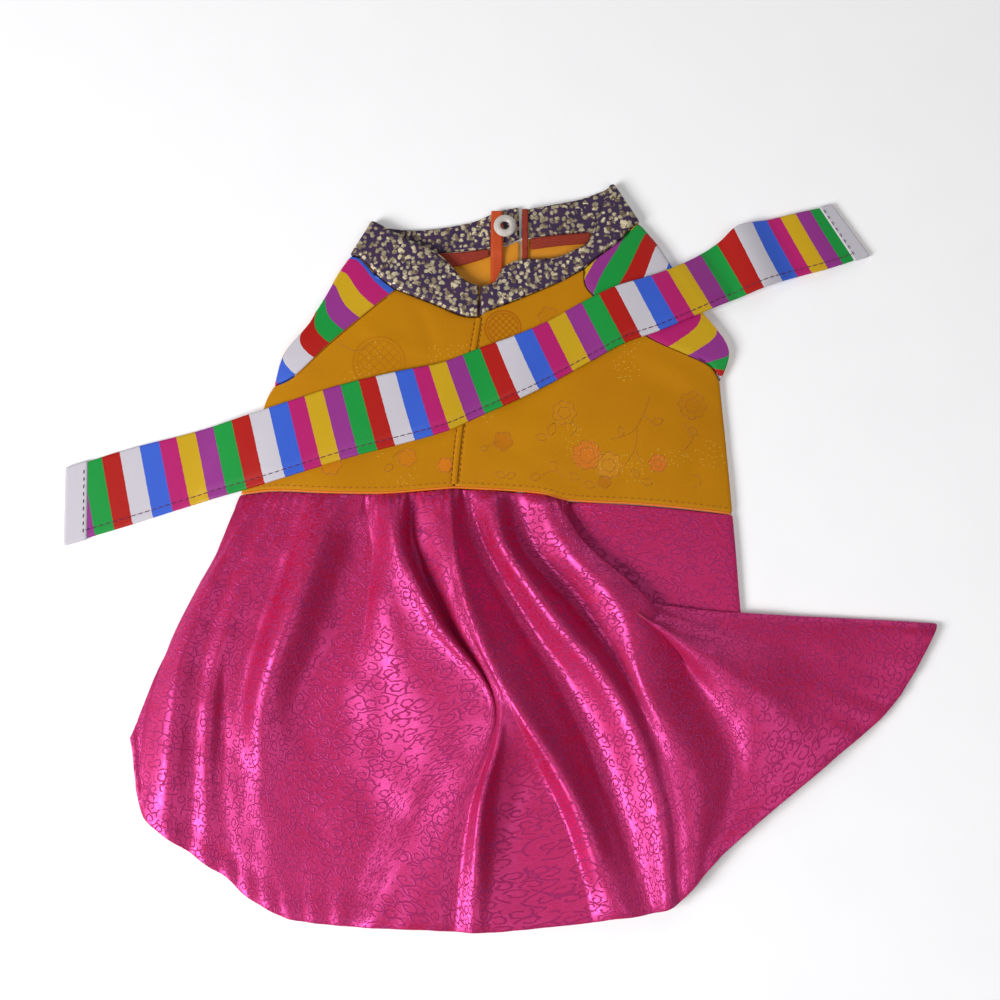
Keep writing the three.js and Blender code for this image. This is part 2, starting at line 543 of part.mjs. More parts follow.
add("collar_left", collar(chain(NECK_LEFT, SLEEVE_NECK_LEFT), curve(COLLAR_FREE_LEFT),
  chain([SLEEVE_NECK_LEFT[3], BACK_NECK_LEFT[0]], BACK_NECK_LEFT), curve(COLLAR_TOP_LEFT)), "navy");
add("collar_right", collar(chain(NECK_RIGHT, SLEEVE_NECK_RIGHT), curve(COLLAR_FREE_RIGHT),
  chain([SLEEVE_NECK_RIGHT[3], BACK_NECK_RIGHT[2]], backwards(BACK_NECK_RIGHT)),
  curve(COLLAR_TOP_RIGHT)), "navy");
add("neck_tape_left", neckTape(TAPE_LEFT), "tape");
add("neck_tape_right", neckTape(TAPE_RIGHT), "tape");
add("placket_tab", uprightStrip(TAB), "placket");
add("back_edge_binding", uprightStrip(EDGE_BINDING), "tape");

add("sleeve_left", sleeve({ raglan: RAGLAN_LEFT, shoulder: SHOULDER_LEFT,
  neck: SLEEVE_NECK_LEFT, cuff: CUFF_LEFT, backRaglan: BACK_RAGLAN_LEFT,
  backNeck: [SLEEVE_NECK_LEFT[3], BACK_NECK_LEFT[0]] }), "satin");
add("sleeve_right", sleeve({ raglan: RAGLAN_RIGHT, shoulder: SHOULDER_RIGHT,
  neck: SLEEVE_NECK_RIGHT, cuff: CUFF_RIGHT, backRaglan: BACK_RAGLAN_RIGHT,
  backNeck: [SLEEVE_NECK_RIGHT[3], BACK_NECK_RIGHT[2]] }), "satin");

add("skirt_back", skirtBack(), "pink");
add("skirt_front", skirtFront(), "pink");
add("sash", sash(), "satin");

const onTab = COLLAR_BAND + TAPE_CLOTH + 2 * SEAM_GAP;
add("snap_socket", snapSocket(), "snap", [SOCKET_PLACE.x, SOCKET_PLACE.y, onTab]);
add("snap_stud", snapStud(), "snap", [STUD_PLACE.x, STUD_PLACE.y, 0]);

export default garment;
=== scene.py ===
import math

import bpy
import numpy as np
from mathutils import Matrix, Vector, noise


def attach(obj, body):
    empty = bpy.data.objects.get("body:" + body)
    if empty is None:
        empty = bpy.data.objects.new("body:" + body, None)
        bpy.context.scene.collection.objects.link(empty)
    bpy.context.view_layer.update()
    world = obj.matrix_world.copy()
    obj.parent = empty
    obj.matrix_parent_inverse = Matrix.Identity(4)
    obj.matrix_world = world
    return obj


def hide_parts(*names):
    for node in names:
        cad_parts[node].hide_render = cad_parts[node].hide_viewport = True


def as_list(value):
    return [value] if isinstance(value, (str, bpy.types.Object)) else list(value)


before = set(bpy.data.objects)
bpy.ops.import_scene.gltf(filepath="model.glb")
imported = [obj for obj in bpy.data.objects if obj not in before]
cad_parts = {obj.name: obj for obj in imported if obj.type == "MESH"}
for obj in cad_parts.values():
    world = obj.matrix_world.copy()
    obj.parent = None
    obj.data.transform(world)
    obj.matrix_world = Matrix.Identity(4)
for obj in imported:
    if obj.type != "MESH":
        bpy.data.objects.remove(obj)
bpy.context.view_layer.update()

# A small dog's hanbok dress, laid flat. Tables are in millimetres, as on a pattern sheet, and
# the meshes in metres.
MM = 0.001

BODICE_CLOTH, SKIRT_CLOTH, COLLAR_BAND, SASH_CLOTH, TAPE_CLOTH = 1.2, 1.1, 2.0, 1.5, 1.0
SEAM_GAP, WAIST_GAP = 0.3, 0.7
LAYER_LIFT = BODICE_CLOTH + SEAM_GAP
EDGE_PUFF = 1.4
FLAP_RADIUS = 0.73
SNAP_RADIUS, STUD = 5.0, (17.0, 142.0)
STUD_LIFT, STUD_LIFT_REACH = 2.0, 30

# ---- camera, light and table ----
scene = bpy.context.scene
scene.view_settings.view_transform = "Standard"


def aimed(thing, place, target):
    thing.location = place
    thing.rotation_euler = (Vector(target) - Vector(place)).to_track_quat("-Z", "Y").to_euler()
    scene.collection.objects.link(thing)
    return thing


camera = bpy.data.cameras.new("camera")
camera.lens, camera.sensor_width = 50, 36
scene.camera = aimed(bpy.data.objects.new("camera", camera), (0.0009, -0.0642, 0.5942),
                     (0.0009, 0.0193, 0))

for name, place, target, size, power, tint in (
        ("window", (-0.95, -0.50, 0.82), (0, -0.03, 0), 0.60, 21.0, (1.0, 0.99, 1.0)),
        ("far side", (0.50, 1.50, 0.85), (0, 0, 0), 1.2, 6.5, (1.0, 0.99, 0.97)),
        ("hem side", (0.44, -0.40, 1.00), (0.03, -0.03, 0), 0.60, 2.8, (0.99, 0.98, 1.0))):
    light = bpy.data.lights.new(name, "AREA")
    light.shape, light.size, light.energy, light.color = "SQUARE", size, power, tint
    aimed(bpy.data.objects.new(name, light), place, target)

world = bpy.data.worlds.new("room")
world.use_nodes = True
world.node_tree.nodes["Background"].inputs["Color"].default_value = (1, 1, 1, 1)
world.node_tree.nodes["Background"].inputs["Strength"].default_value = 0.12
scene.world = world


# ---- materials ----
def linear(red, green, blue):
    """A colour that is given in the 0 to 255 of a screen."""
    return tuple((c / 255 / 12.92) if c < 11 else ((c / 255 + 0.055) / 1.055) ** 2.4
                 for c in (red, green, blue)) + (1.0,)


def operator(operation):
    return lambda value, *others: value.finish.node(
        "Math", {"operation": operation}, dict(enumerate((value,) + others)))


class Value:
    """A node's socket, with arithmetic."""

    def __init__(self, finish, socket):
        self.finish, self.socket = finish, socket

    def math(self, operation, *others):
        return operator(operation)(self, *others)

    __add__ = __radd__ = operator("ADD")
    __mul__ = __rmul__ = operator("MULTIPLY")
    __sub__, __truediv__ = operator("SUBTRACT"), operator("DIVIDE")
    __abs__, larger = operator("ABSOLUTE"), operator("MAXIMUM")

    def __rsub__(self, other):
        return (self * -1.0) + other

    def below(self, limit, soft=0.15):
        """1 where it is well below the limit, 0 above, with a soft step."""
        return self.finish.node("MapRange", {"interpolation_type": "SMOOTHSTEP"},
                                {"Value": self, "From Min": limit * (1 + soft),
                                 "From Max": limit * (1 - soft)})


class Finish:
    """A material's nodes."""

    def __init__(self, name):
        self.material = bpy.data.materials.new(name)
        self.material.use_nodes = True
        self.tree = self.material.node_tree
        self.shader = self.tree.nodes["Principled BSDF"]

    def feed(self, socket, value):
        if isinstance(value, Value):
            self.tree.links.new(value.socket, socket)
        else:
            socket.default_value = value

    def node(self, kind, settings, inputs, out=0):
        made = self.tree.nodes.new("ShaderNode" + kind)
        for key, value in settings.items():
            setattr(made, key, value)
        for key, value in inputs.items():
            self.feed(made.inputs[key], value)
        return Value(self, made.outputs[out])

    def place(self, output="UV"):
        return self.node("TexCoord", {}, {}, output)

    def vector(self, operation, *inputs, out=0):
        return self.node("VectorMath", {"operation": operation}, dict(enumerate(inputs)), out)

    def scaled(self, vector, *scale):
        return self.vector("MULTIPLY", vector, scale)

    def less(self, vector, other):
        return self.vector("SUBTRACT", vector, other)

    def length(self, vector):
        return self.vector("LENGTH", vector, out="Value")

    def wandering(self, vector, amount, scale):
        """A place that is shaken a little, so that a figure loses its even run."""
        return self.blend(amount, vector, self.cloud(vector, scale, out="Color"), "ADD")

    def parts(self, vector):
        return [self.node("SeparateXYZ", {}, {0: vector}, n) for n in (0, 1)]

    def angle(self, vector):
        x, y = self.parts(vector)
        return y.math("ARCTAN2", x)

    def cloud(self, vector, scale, detail=2.0, out=0):
        return self.node("TexNoise", {"noise_dimensions": "2D"},
                         {"Vector": vector, "Scale": scale, "Detail": detail}, out)

    def cells(self, vector, scale, out="Distance", scatter=1.0, feature="F1"):
        return self.node("TexVoronoi",
                         {"voronoi_dimensions": "2D", "feature": feature},
                         {"Vector": vector, "Scale": scale, "Randomness": scatter}, out)

    def blend(self, amount, first, second, mode="MIX"):
        return self.node("Mix", {"data_type": "RGBA", "blend_type": mode},
                         {0: amount, 6: first, 7: second}, 2)

    def bands(self, value, stops):
        """Plain colours side by side, each from its own place on."""
        made = self.node("ValToRGB", {}, {0: value})
        ramp = made.socket.node.color_ramp
        ramp.interpolation = "CONSTANT"
        while len(ramp.elements) < len(stops):
            ramp.elements.new(1.0)
        for element, (place, colour) in zip(ramp.elements, stops):
            element.position, element.color = place, colour
        return made

    def relief(self, height, depth):
        return self.node("Bump", {}, {"Height": height, "Strength": 1.0,
                                                "Distance": depth})

    def done(self, **inputs):
        for key, value in inputs.items():
            self.feed(self.shader.inputs[key.replace("_", " ")], value)
        return self.material


def pink_jacquard():
    """Glossy satin whose ground is set off by fine dull scrolls."""
    f = Finish("pink_jacquard")
    cloth = f.place()
    grid = f.scaled(f.wandering(cloth, 0.0016, 260.0), 205, 205, 0)
    offset = f.less(grid, f.cells(grid, 1.0, "Position", 0.72))
    turn = f.angle(offset) / (2 * math.pi)
    own = f.cells(grid, 1.0, "Color", 0.72)
    start = f.parts(own)[0]
    spiral = 0.16 + 0.26 * (turn + start).math("FRACT")
    lobes = (turn * 44.0).math("SINE") * 0.022
    curl = abs(f.length(offset) - spiral - lobes).below(0.052, 0.5)
    vine = f.cells(grid, 1.0, "Distance", 0.72, "DISTANCE_TO_EDGE").below(0.055, 0.5)
    figure = curl.larger(vine * f.cloud(cloth, 150.0).math("GREATER_THAN", 0.48))
    floats = f.parts(f.cells(cloth, 2600.0, "Color"))[0]
    shade = f.cloud(cloth, 22.0, 3.0)
    ground = f.blend(floats * 0.5, linear(188, 0, 30), linear(212, 2, 52))
    colour = f.blend(figure, ground, linear(150, 0, 36))
    colour = f.blend(shade * 0.25, colour, linear(172, 0, 16))
    return f.done(Base_Color=colour, Roughness=0.38 + floats * 0.13 + figure * 0.45,
                  Metallic=0.28 - figure * 0.15, IOR=2.9, Specular_Tint=(0.78, 0.26, 1.0, 1.0),
                  Normal=f.relief(floats * 0.9 + figure * 0.5, 0.00014))


def gold_brocade():
    """Gold satin with tone on tone roundels and sprays."""
    f = Finish("gold_brocade")
    at = f.place("Object")
    weave = f.cloud(f.scaled(at, 900, 2600, 0), 1.0, 1.0)
    shade = f.cloud(at, 28.0, 3.0)
    colour = f.blend(weave * 0.5, linear(184, 122, 0), linear(202, 138, 3))
    colour = f.blend(shade * 0.5, colour, linear(164, 96, 1))
    for x, y, radius, petals, tint, strength in (
            (38.3, 38.1, 6.6, 9, (214, 104, 40), 0.75), (47.5, 33.6, 6.2, 8, (206, 138, 40), 0.6),
            (68.8, 34.6, 4.2, 6, (212, 100, 40), 0.75), (2.2, 44.2, 4.6, 5, (176, 92, 14), 0.6),
            (-22.7, 33.7, 3.6, 6, (222, 112, 30), 0.7), (28.5, 56.5, 5.6, 7, (196, 128, 20), 0.5),
            (45.7, 26.3, 3.0, 5, (170, 88, 12), 0.55), (-39, 37, 4.4, 6, (206, 112, 22), 0.55),
            (84, 60, 6.5, 8, (176, 106, 6), 0.5), (-66, 56, 5.5, 7, (178, 108, 6), 0.5),
            (-72, 34, 5.0, 6, (206, 118, 24), 0.5), (22, 99, 5.0, 6, (178, 108, 8), 0.45)):
        local = f.scaled(f.less(at, (x * MM, y * MM, 0)), 1, 1, 0)
        turn = f.angle(local)
        reach = f.length(local) / (radius * MM)
        wave = (turn * petals).math("SINE")
        inside = (reach + wave * 0.09).below(0.92, 0.08)
        rings = abs((reach * 15.0 + wave * 0.9).math("SINE"))
        colour = f.blend(inside * (0.35 + 0.65 * rings) * strength, colour, linear(*tint))
    for x, y, radius, strength in ((2.2, 94.2, 8.3, 0.75), (-51.6, 79, 12.0, 0.3)):
        local = f.scaled(f.less(at, (x * MM, y * MM, 0)), 1, 1, 0)
        reach = f.length(local) / (radius * MM)
        rim = abs(reach - 0.94).below(0.045, 0.4).larger(abs(reach - 0.8).below(0.03, 0.5))
        across, up = [n * (9.0 / radius / MM) for n in f.parts(local)]
        lattice = abs((across + up).math("SINE") * (across - up).math("SINE")).below(0.3, 0.5)
        mask = rim.larger(lattice * reach.below(0.76, 0.03))
        colour = f.blend(mask * strength, colour, linear(160, 80, 4))
    glint = f.cells(at, 420.0, "Distance").below(0.07, 0.6)
    patch = f.cloud(at, 42.0, 1.0).math("GREATER_THAN", 0.66)
    colour = f.blend(glint * patch * 0.7, colour, linear(240, 210, 110))
    return f.done(Base_Color=colour, Roughness=0.46 + weave * 0.12, IOR=1.5,
                  Specular_IOR_Level=0.4, Specular_Tint=(1.0, 0.8, 0.35, 1.0),
                  Normal=f.relief(weave, 0.00006))


STRIPES = (("white", (204, 200, 208), 0.150), ("blue", (54, 96, 208), 0.150),
           ("magenta", (184, 22, 108), 0.131), ("yellow", (204, 164, 12), 0.146),
           ("purple", (148, 48, 138), 0.139), ("green", (10, 150, 58), 0.144),
           ("red", (176, 16, 2), 0.140))


def striped_satin():
    """Satin in the seven stripes, which follow the first coordinate of the cloth."""
    f = Finish("striped_satin")
    cloth = f.place()
    along, across = f.parts(cloth)
    thread = f.cloud(f.scaled(cloth, 60, 3800, 0), 1.0, 1.0)
    edge = f.cloud(f.scaled(cloth, 0, 400, 0), 1.0) * 0.05
    place = (along + edge) / float(len(STRIPES))
    stops, start = [], 0.0
    for _, colour, share in STRIPES:
        stops.append((start, linear(*colour)))
        start += share
    colour = f.bands(place.math("FRACT"), stops)
    colour = f.blend(thread * 0.16, colour, (0.02, 0.01, 0.02, 1))
    return f.done(Base_Color=colour, Roughness=0.42 + thread * 0.1, IOR=1.5,
                  Specular_IOR_Level=0.3, Normal=f.relief(thread, 0.00004))


def navy_brocade():
    """Dark brocade thick with pale gold flecks."""
    f = Finish("navy_brocade")
    cloth = f.place()
    own = f.cells(cloth, 430.0, "Color", 0.9)
    size, kind = f.parts(own)
    reach = f.cells(f.wandering(cloth, 0.0012, 500.0), 430.0, "Distance", 0.9)
    fleck = (reach - size * 0.2).below(0.285, 0.35)
    fleck = fleck * kind.math("LESS_THAN", 0.93)
    thread = f.cloud(f.scaled(cloth, 900, 3000, 0), 1.0, 1.0)
    ground = f.blend(f.cloud(cloth, 120.0), linear(34, 20, 62), linear(66, 36, 70))
    bright = f.parts(f.cells(cloth, 640.0, "Color"))[0] * f.cloud(cloth, 60.0) * 1.7
    gold = f.blend(bright, linear(104, 86, 64), linear(236, 222, 184))
    colour = f.blend(fleck, ground, gold)
    return f.done(Base_Color=colour, Roughness=0.62 - fleck * 0.22, Metallic=fleck * 0.25,
                  Normal=f.relief(fleck + thread * 0.3, 0.00016))


def plain(name, low, high, grain=(1500, 1500), rough=0.7, depth=0.00006, **constants):
    """A plain cloth or moulding, with its own grain."""
    f = Finish(name)
    weave = f.cloud(f.scaled(f.place("Object"), *grain, 0), 1.0, 1.0)
    colour = f.blend(weave, linear(*low), linear(*high))
    return f.done(Base_Color=colour, Roughness=rough - 0.1 * weave,
                  Normal=f.relief(weave, depth), **constants)


FINISH = {
    "pink": pink_jacquard(), "gold": gold_brocade(), "stripes": striped_satin(),
    "navy": navy_brocade(),
    "gold lining": plain("gold_lining", (204, 128, 8), (218, 146, 24), (700, 2600), 0.55),
    "pink lining": plain("pink_lining", (150, 12, 60), (176, 24, 84), (700, 2600), 0.6),
    "tape": plain("red_tape", (116, 26, 12), (164, 52, 22), (420, 2400), 0.85, 0.0002),
    "placket": plain("placket_cloth", (178, 52, 10), (206, 84, 20), (900, 2200), 0.6),
    "gold edge": plain("folded_edge", (206, 104, 10), (224, 128, 26), (1500, 1500), 0.5),
    "gold thread": plain("gold_thread", (150, 88, 6), (176, 108, 14), (4000, 4000), 0.6),
    "gold spray": plain("spray_thread", (158, 96, 4), (178, 112, 12), (4000, 4000), 0.55),
    "pink thread": plain("pink_thread", (120, 10, 62), (160, 30, 92), (4000, 4000), 0.6),
    "stripes thread": plain("dark_thread", (74, 26, 60), (104, 44, 84), (4000, 4000), 0.7),
    "snap": plain("snap_plastic", (222, 214, 206), (236, 230, 224), (300, 300), 0.25, 0.00002,
                  Transmission_Weight=0.35, IOR=1.5),
    "table": plain("table_top", (238, 238, 239), (241, 241, 242), (40, 40), 0.9, 0.00001,
                   Emission_Color=(1, 1, 1, 1), Emission_Strength=0.12),
}


# ---- curves and grids ----
def cubic(b, c, out, into, t):
    return (b + out * t + (3 * (c - b) - 2 * out - into) * t ** 2
            + (2 * (b - c) + out + into) * t ** 3)


def curve(points):
    """A smooth curve through a run of plan points, walked at even speed."""
    p = np.array(points, float)
    padded = np.vstack([p[:1], p, p[-1:]])
    t = np.linspace(0, 1, 24)[:, None]
    spans = []
    for a, b, c, d in zip(padded, padded[1:], padded[2:], padded[3:]):
        out, into = (c - a) / 2, (d - b) / 2
        spans.append(cubic(b, c, out, into, t))
    dense = np.vstack(spans)
    far = np.r_[0, np.cumsum(norm(np.diff(dense, axis=0)))]
    return lambda s: np.stack([np.interp(s * far[-1], far, dense[:, k]) for k in (0, 1)], -1)


def chain(*runs):
    """Runs end to end, each with the same share of the way."""
    curves = [curve(run) for run in runs]

    def walk(s):
        n = np.minimum((s * len(curves)).astype(int), len(curves) - 1)
        each = np.stack([c(np.clip(s * len(curves) - k, 0, 1)) for k, c in enumerate(curves)])
        return each[n, np.arange(len(s))]
    return walk


def patch(left, right, bottom, top, across, along):
    """The plan points of a patch that is stretched between four edges."""
    u, v = np.linspace(0, 1, across + 1), np.linspace(0, 1, along + 1)
    west, east, south, north = left(v)[:, None], right(v)[:, None], bottom(u)[None], top(u)[None]
    a, b = u[None, :, None], v[:, None, None]
    return ((1 - a) * west + a * east + (1 - b) * south + b * north
            - (1 - a) * (1 - b) * west[0] - a * (1 - b) * east[0]
            - (1 - a) * b * west[-1] - a * b * east[-1])


def strip(low, high, across, along):
    """The plan points of a strip ruled between two curves."""
    u, b = np.linspace(0, 1, across + 1), np.linspace(0, 1, along + 1)[:, None, None]
    return (1 - b) * low(u)[None] + b * high(u)[None]


def through(knots, cells):
    """Smooth curves through knots along the first axis, with so many cells between knots."""
    p = np.asarray(knots, float)
    padded = np.concatenate([[2 * p[0] - p[1]], p, [2 * p[-1] - p[-2]]])
    t = np.linspace(0, 1, cells, endpoint=False).reshape((-1,) + (1,) * (p.ndim - 1))
    spans = []
    for a, b, c, d in zip(padded, padded[1:], padded[2:], padded[3:]):
        ab, bc, cd = (np.maximum(np.sqrt(np.linalg.norm(q - r, axis=-1, keepdims=True)), 0.03)
                      for r, q in ((a, b), (b, c), (c, d)))
        out = ((b - a) / ab - (c - a) / (ab + bc) + (c - b) / bc) * bc
        into = ((c - b) / bc - (d - b) / (bc + cd) + (d - c) / cd) * bc
        spans.append(cubic(b, c, out, into, t))
    return np.concatenate(spans + [p[-1:]])


def norm(v):
    return np.linalg.norm(v, axis=-1)


def unit(v):
    return v / np.maximum(norm(v)[..., None], 1e-9)


def xy(rows):
    return rows[..., 0], rows[..., 1]


def step(value, low, high):
    t = np.clip((value - low) / (high - low), 0, 1)
    return t * t * (3 - 2 * t)


def ripple(x, y, size, seed):
    """Soft even noise over the plan, from -1 to 1."""
    flat = [noise.noise(Vector((a / size, b / size, seed))) for a, b in zip(x.ravel(), y.ravel())]
    return np.array(flat).reshape(x.shape)


def creased(x, y, creases):
    """The sum of soft troughs and ridges along runs of plan points: (run, width, height)."""
    total = np.zeros(x.shape)
    here = np.stack([x, y], -1)
    for run, width, height in creases:
        path = curve(run)(np.linspace(0, 1, 40))
        apart = norm(here[..., None, :] - path)
        near = apart.argmin(-1)
        fade = np.sin(np.pi * np.clip((near + 1.5) / 42, 0, 1)) ** 0.6
        total += height * fade * np.exp(-(apart.min(-1) / width) ** 2)
    return total


def on_cloth(rows):
    """Lengths along and across the cloth, in metres, from its first corner."""
    across, along = norm(np.diff(rows, axis=1)), norm(np.diff(rows, axis=0))
    u = np.pad(np.cumsum(across, axis=1), ((0, 0), (1, 0)))
    v = np.pad(np.cumsum(along, axis=0), ((1, 0), (0, 0)))
    return np.stack([u, v], -1) * MM


# ---- cloth meshes ----
def mesh_piece(name, points, faces, finishes, uv=None, sides=None):
    mesh = bpy.data.meshes.new(name)
    mesh.from_pydata(np.asarray(points) * MM, [], faces)
    for finish in finishes:
        mesh.materials.append(FINISH[finish])
    mesh.polygons.foreach_set("use_smooth", [True] * len(faces))
    if sides is not None:
        mesh.polygons.foreach_set("material_index", sides)
    if uv is not None:
        layer = mesh.uv_layers.new(name="cloth")
        corners = np.empty(len(mesh.loops), np.int32)
        mesh.loops.foreach_get("vertex_index", corners)
        layer.data.foreach_set("uv", np.asarray(uv, np.float32)[corners].ravel())
    mesh.update()
    piece = bpy.data.objects.new(name, mesh)
    scene.collection.objects.link(piece)
    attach(piece, "root")
    return piece


def cloth(name, rows, thickness, outside, inside, uv=None):
    """A closed cloth of even thickness about a grid of middle points, with soft round edges.

    Its outside is the upper face, where the grid starts."""
    rows = np.asarray(rows, float)
    uv = on_cloth(rows) if uv is None else uv
    if np.cross(rows[4, 5] - rows[4, 4], rows[5, 4] - rows[4, 4])[2] < 0:
        rows, uv = rows[::-1], uv[::-1]
    half = thickness / 2
    cut = SEAM_GAP / 2 + half
    inward = np.zeros(rows.shape)
    for edge, next_to in ((np.s_[:, 0], np.s_[:, 1]), (np.s_[:, -1], np.s_[:, -2]),
                          (np.s_[0], np.s_[1]), (np.s_[-1], np.s_[-2])):
        inward[edge] += unit(rows[next_to] - rows[edge])
    rows = rows + inward * cut
    normal = unit(np.cross(np.gradient(rows, axis=1), np.gradient(rows, axis=0)))
    height, width = rows.shape[:2]
    ids = np.arange(height * width).reshape(height, width)
    loop = np.concatenate([ids[0, :-1], ids[:-1, -1], ids[-1, :0:-1], ids[:0:-1, 0]])
    flat_rows, flat_normal = rows.reshape(-1, 3), normal.reshape(-1, 3)
    outward = unit(-inward.reshape(-1, 3)[loop])
    middle, up = flat_rows[loop], flat_normal[loop]
    turns = [math.cos(a) * outward + math.sin(a) * up for a in (math.pi / 4, 0, -math.pi / 4)]
    points = np.concatenate([flat_rows + half * flat_normal, flat_rows - half * flat_normal]
                            + [middle + half * turn for turn in turns])
    count, border = len(flat_rows), len(loop)
    a, b, c, d = (ids[:-1, :-1].ravel(), ids[:-1, 1:].ravel(), ids[1:, 1:].ravel(),
                  ids[1:, :-1].ravel())
    faces = [np.stack([a, b, c, d], -1), np.stack([d, c, b, a], -1) + count]
    rings = [loop] + [2 * count + k * border + np.arange(border) for k in range(3)] + [loop + count]
    for near, far in zip(rings, rings[1:]):
        faces.append(np.stack([near, far, np.roll(far, -1), np.roll(near, -1)], -1))
    sides = np.concatenate([np.full(len(f), side) for f, side in zip(faces, (0, 1, 0, 0, 1, 1))])
    flat_uv = uv.reshape(-1, 2)
    uvs = np.concatenate([flat_uv, flat_uv] + [flat_uv[loop]] * 3)
    return mesh_piece(name, points, np.concatenate(faces).tolist(), (outside, inside), uvs,
                      sides.tolist())


def dressed(node, *made_of):
    """The cloth that a CAD node's solid stands for."""
    piece = cloth(node + "_cloth", *made_of)
    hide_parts(node)
    return piece


def folded(upper, lower, turns=10):
    """Middle points of a piece whose upper layer turns round its last column to a lower one."""
    start, end = upper[:, -1], lower[:, 0]
    radius = (start[:, 2] - end[:, 2])[:, None] / 2
    outward = end - lower[:, 1]
    outward[:, 2] = 0
    outward = unit(outward)
    bend = []
    for angle in np.arange(1, turns) * math.pi / turns:
        share = (1 - math.cos(angle)) / 2
        bend.append(start * (1 - share) + end * share + outward * radius * math.sin(angle))
    return np.concatenate([upper, np.stack(bend, 1), lower], axis=1)


def tubes(name, runs, radius, finish, sides=6, flat=1.0):
    """Threads along runs of points, all in one mesh; flat squeezes them on the cloth."""
    points, faces, start = [], [], 0
    around = np.arange(sides) * 2 * math.pi / sides
    for run in runs:
        run = np.asarray(run, float)
        way = unit(np.gradient(run, axis=0))
        side = unit(np.cross(way, [0, 0, 1.0]))
        up = np.cross(side, way)
        taper = np.ones(len(run))
        taper[[0, -1]] = 0.35
        ring = (side[:, None] * np.cos(around)[:, None]
                + up[:, None] * np.sin(around)[:, None] * flat)
        points.append((run[:, None] + ring * (radius * taper)[:, None, None]).reshape(-1, 3))
        for j in range(len(run) - 1):
            for i in range(sides):
                a, b = start + j * sides + i, start + j * sides + (i + 1) % sides
                faces.append((b, a, a + sides, b + sides))
        faces.append([start + i for i in range(sides)])
        faces.append([start + (len(run) - 1) * sides + i for i in reversed(range(sides))])
        start += len(run) * sides
    return mesh_piece(name, np.concatenate(points), faces, (finish,))


def stitches(path, length, gap, bow=0.12, sink=0.18):
    """Short runs along a path of points, each sunk into the cloth at its two ends."""
    path = np.asarray(path, float)
    far = np.r_[0, np.cumsum(norm(np.diff(path, axis=0)))]
    runs = []
    for start in np.arange(gap, far[-1] - length, length + gap):
        along = np.linspace(start, start + length, 5)
        run = np.stack([np.interp(along, far, path[:, k]) for k in range(3)], -1)
        run[:, 2] += np.array([-sink, bow * 0.7, bow, bow * 0.7, -sink])
        runs.append(run)
    return runs


# ---- the pattern: seams and edges in plan ----
SIDE_LEFT = [(-110.9, 21.8), (-106, 42), (-101.3, 61.2), (-97.6, 68.6)]
SIDE_RIGHT = [(100.9, 13.2), (98.9, 42), (97.4, 61), (96.6, 70.6)]
RAGLAN_LEFT = [(-97.6, 68.6), (-88.5, 72.9), (-74, 86.7), (-61, 98), (-44.6, 111.6)]
RAGLAN_RIGHT = [(96.6, 70.6), (92.6, 77.2), (81.3, 82.7), (66.2, 89.8), (51, 101.5),
  (39, 112), (38, 121.1)]
CENTRE_FRONT = [(-18.8, 24.4), (-16.6, 47), (-12.6, 72), (-8.2, 99.4)]
WAIST_LEFT = [(-110.9, 21.8), (-95.6, 23.3), (-72, 22.3), (-48.4, 22.1), (-29.1, 23.6),
  (-18.8, 24.4)]
WAIST_RIGHT = [(-18.8, 24.4), (0.9, 23.4), (18, 22), (31, 18.9), (57.4, 17.5), (80, 15.6),
  (100.9, 13.2)]
NECK_LEFT = [(-8.2, 99.4), (-15.7, 99.9), (-29.6, 105.7), (-44.6, 111.6)]
NECK_RIGHT = [(-8.2, 99.4), (-4.3, 102.1), (9.6, 107.5), (27.1, 115.2), (38, 121.1)]
SLEEVE_NECK_LEFT = [(-44.6, 111.6), (-51.6, 117), (-59.5, 125.6), (-63.1, 127.2)]
SLEEVE_NECK_RIGHT = [(38, 121.1), (43.4, 126), (52.7, 133.3), (60.7, 141.8)]
SHOULDER_LEFT = [(-63.1, 127.2), (-73, 111.8), (-83.4, 94.8)]
SHOULDER_RIGHT = [(60.7, 141.8), (69.5, 130.6), (80.5, 114.5), (90.4, 99.4)]
CUFF_LEFT = [(-97.6, 68.6), (-94.7, 79.9), (-91, 86.6), (-83.4, 94.8)]
CUFF_RIGHT = [(96.6, 70.6), (99.8, 78), (100.8, 84), (98.3, 90), (90.4, 99.4)]
BACK_NECK_LEFT = [(-46, 126), (-25.6, 129.2), (-1.8, 131.4), (9.7, 135.6)]
BACK_NECK_RIGHT = [(10.2, 135.2), (27.5, 137), (45, 139.3)]
SLEEVE_END_LEFT = [SLEEVE_NECK_LEFT[3], BACK_NECK_LEFT[0]]
SLEEVE_END_RIGHT = [SLEEVE_NECK_RIGHT[3], BACK_NECK_RIGHT[2]]
BACK_RAGLAN_LEFT = [(-97.6, 68.6), (-72, 97), (-46, 126)]
BACK_RAGLAN_RIGHT = [(96.6, 70.6), (68, 105), (45, 139.3)]
COLLAR_FREE_LEFT = [(-8.2, 113.5), (-15.3, 116.7), (-25.4, 127.5), (-40.8, 135.3),
  (-53.7, 142.7)]
COLLAR_FREE_RIGHT = [(-7.6, 113.4), (-1.7, 114.9), (2.2, 121.6), (9.7, 125.3),
  (22.8, 125.6), (33.8, 129.8), (40.6, 135.7), (49.4, 159.7)]
COLLAR_TOP_LEFT = [(-53.7, 142.7), (-48.7, 140.9), (-32.7, 139.9), (-12.4, 143.2),
  (0, 148.5), (9.5, 150.6)]
COLLAR_TOP_RIGHT = [(49.4, 159.7), (45, 157.4), (32, 152.8), (10.4, 148.5)]
CENTRE_BACK_LEFT = ((9.8, 22.4), (9.8, 70), (9.8, 135.6))
CENTRE_BACK_RIGHT = ((10.1, 22.4), (10.1, 70), (10.1, 135.2))
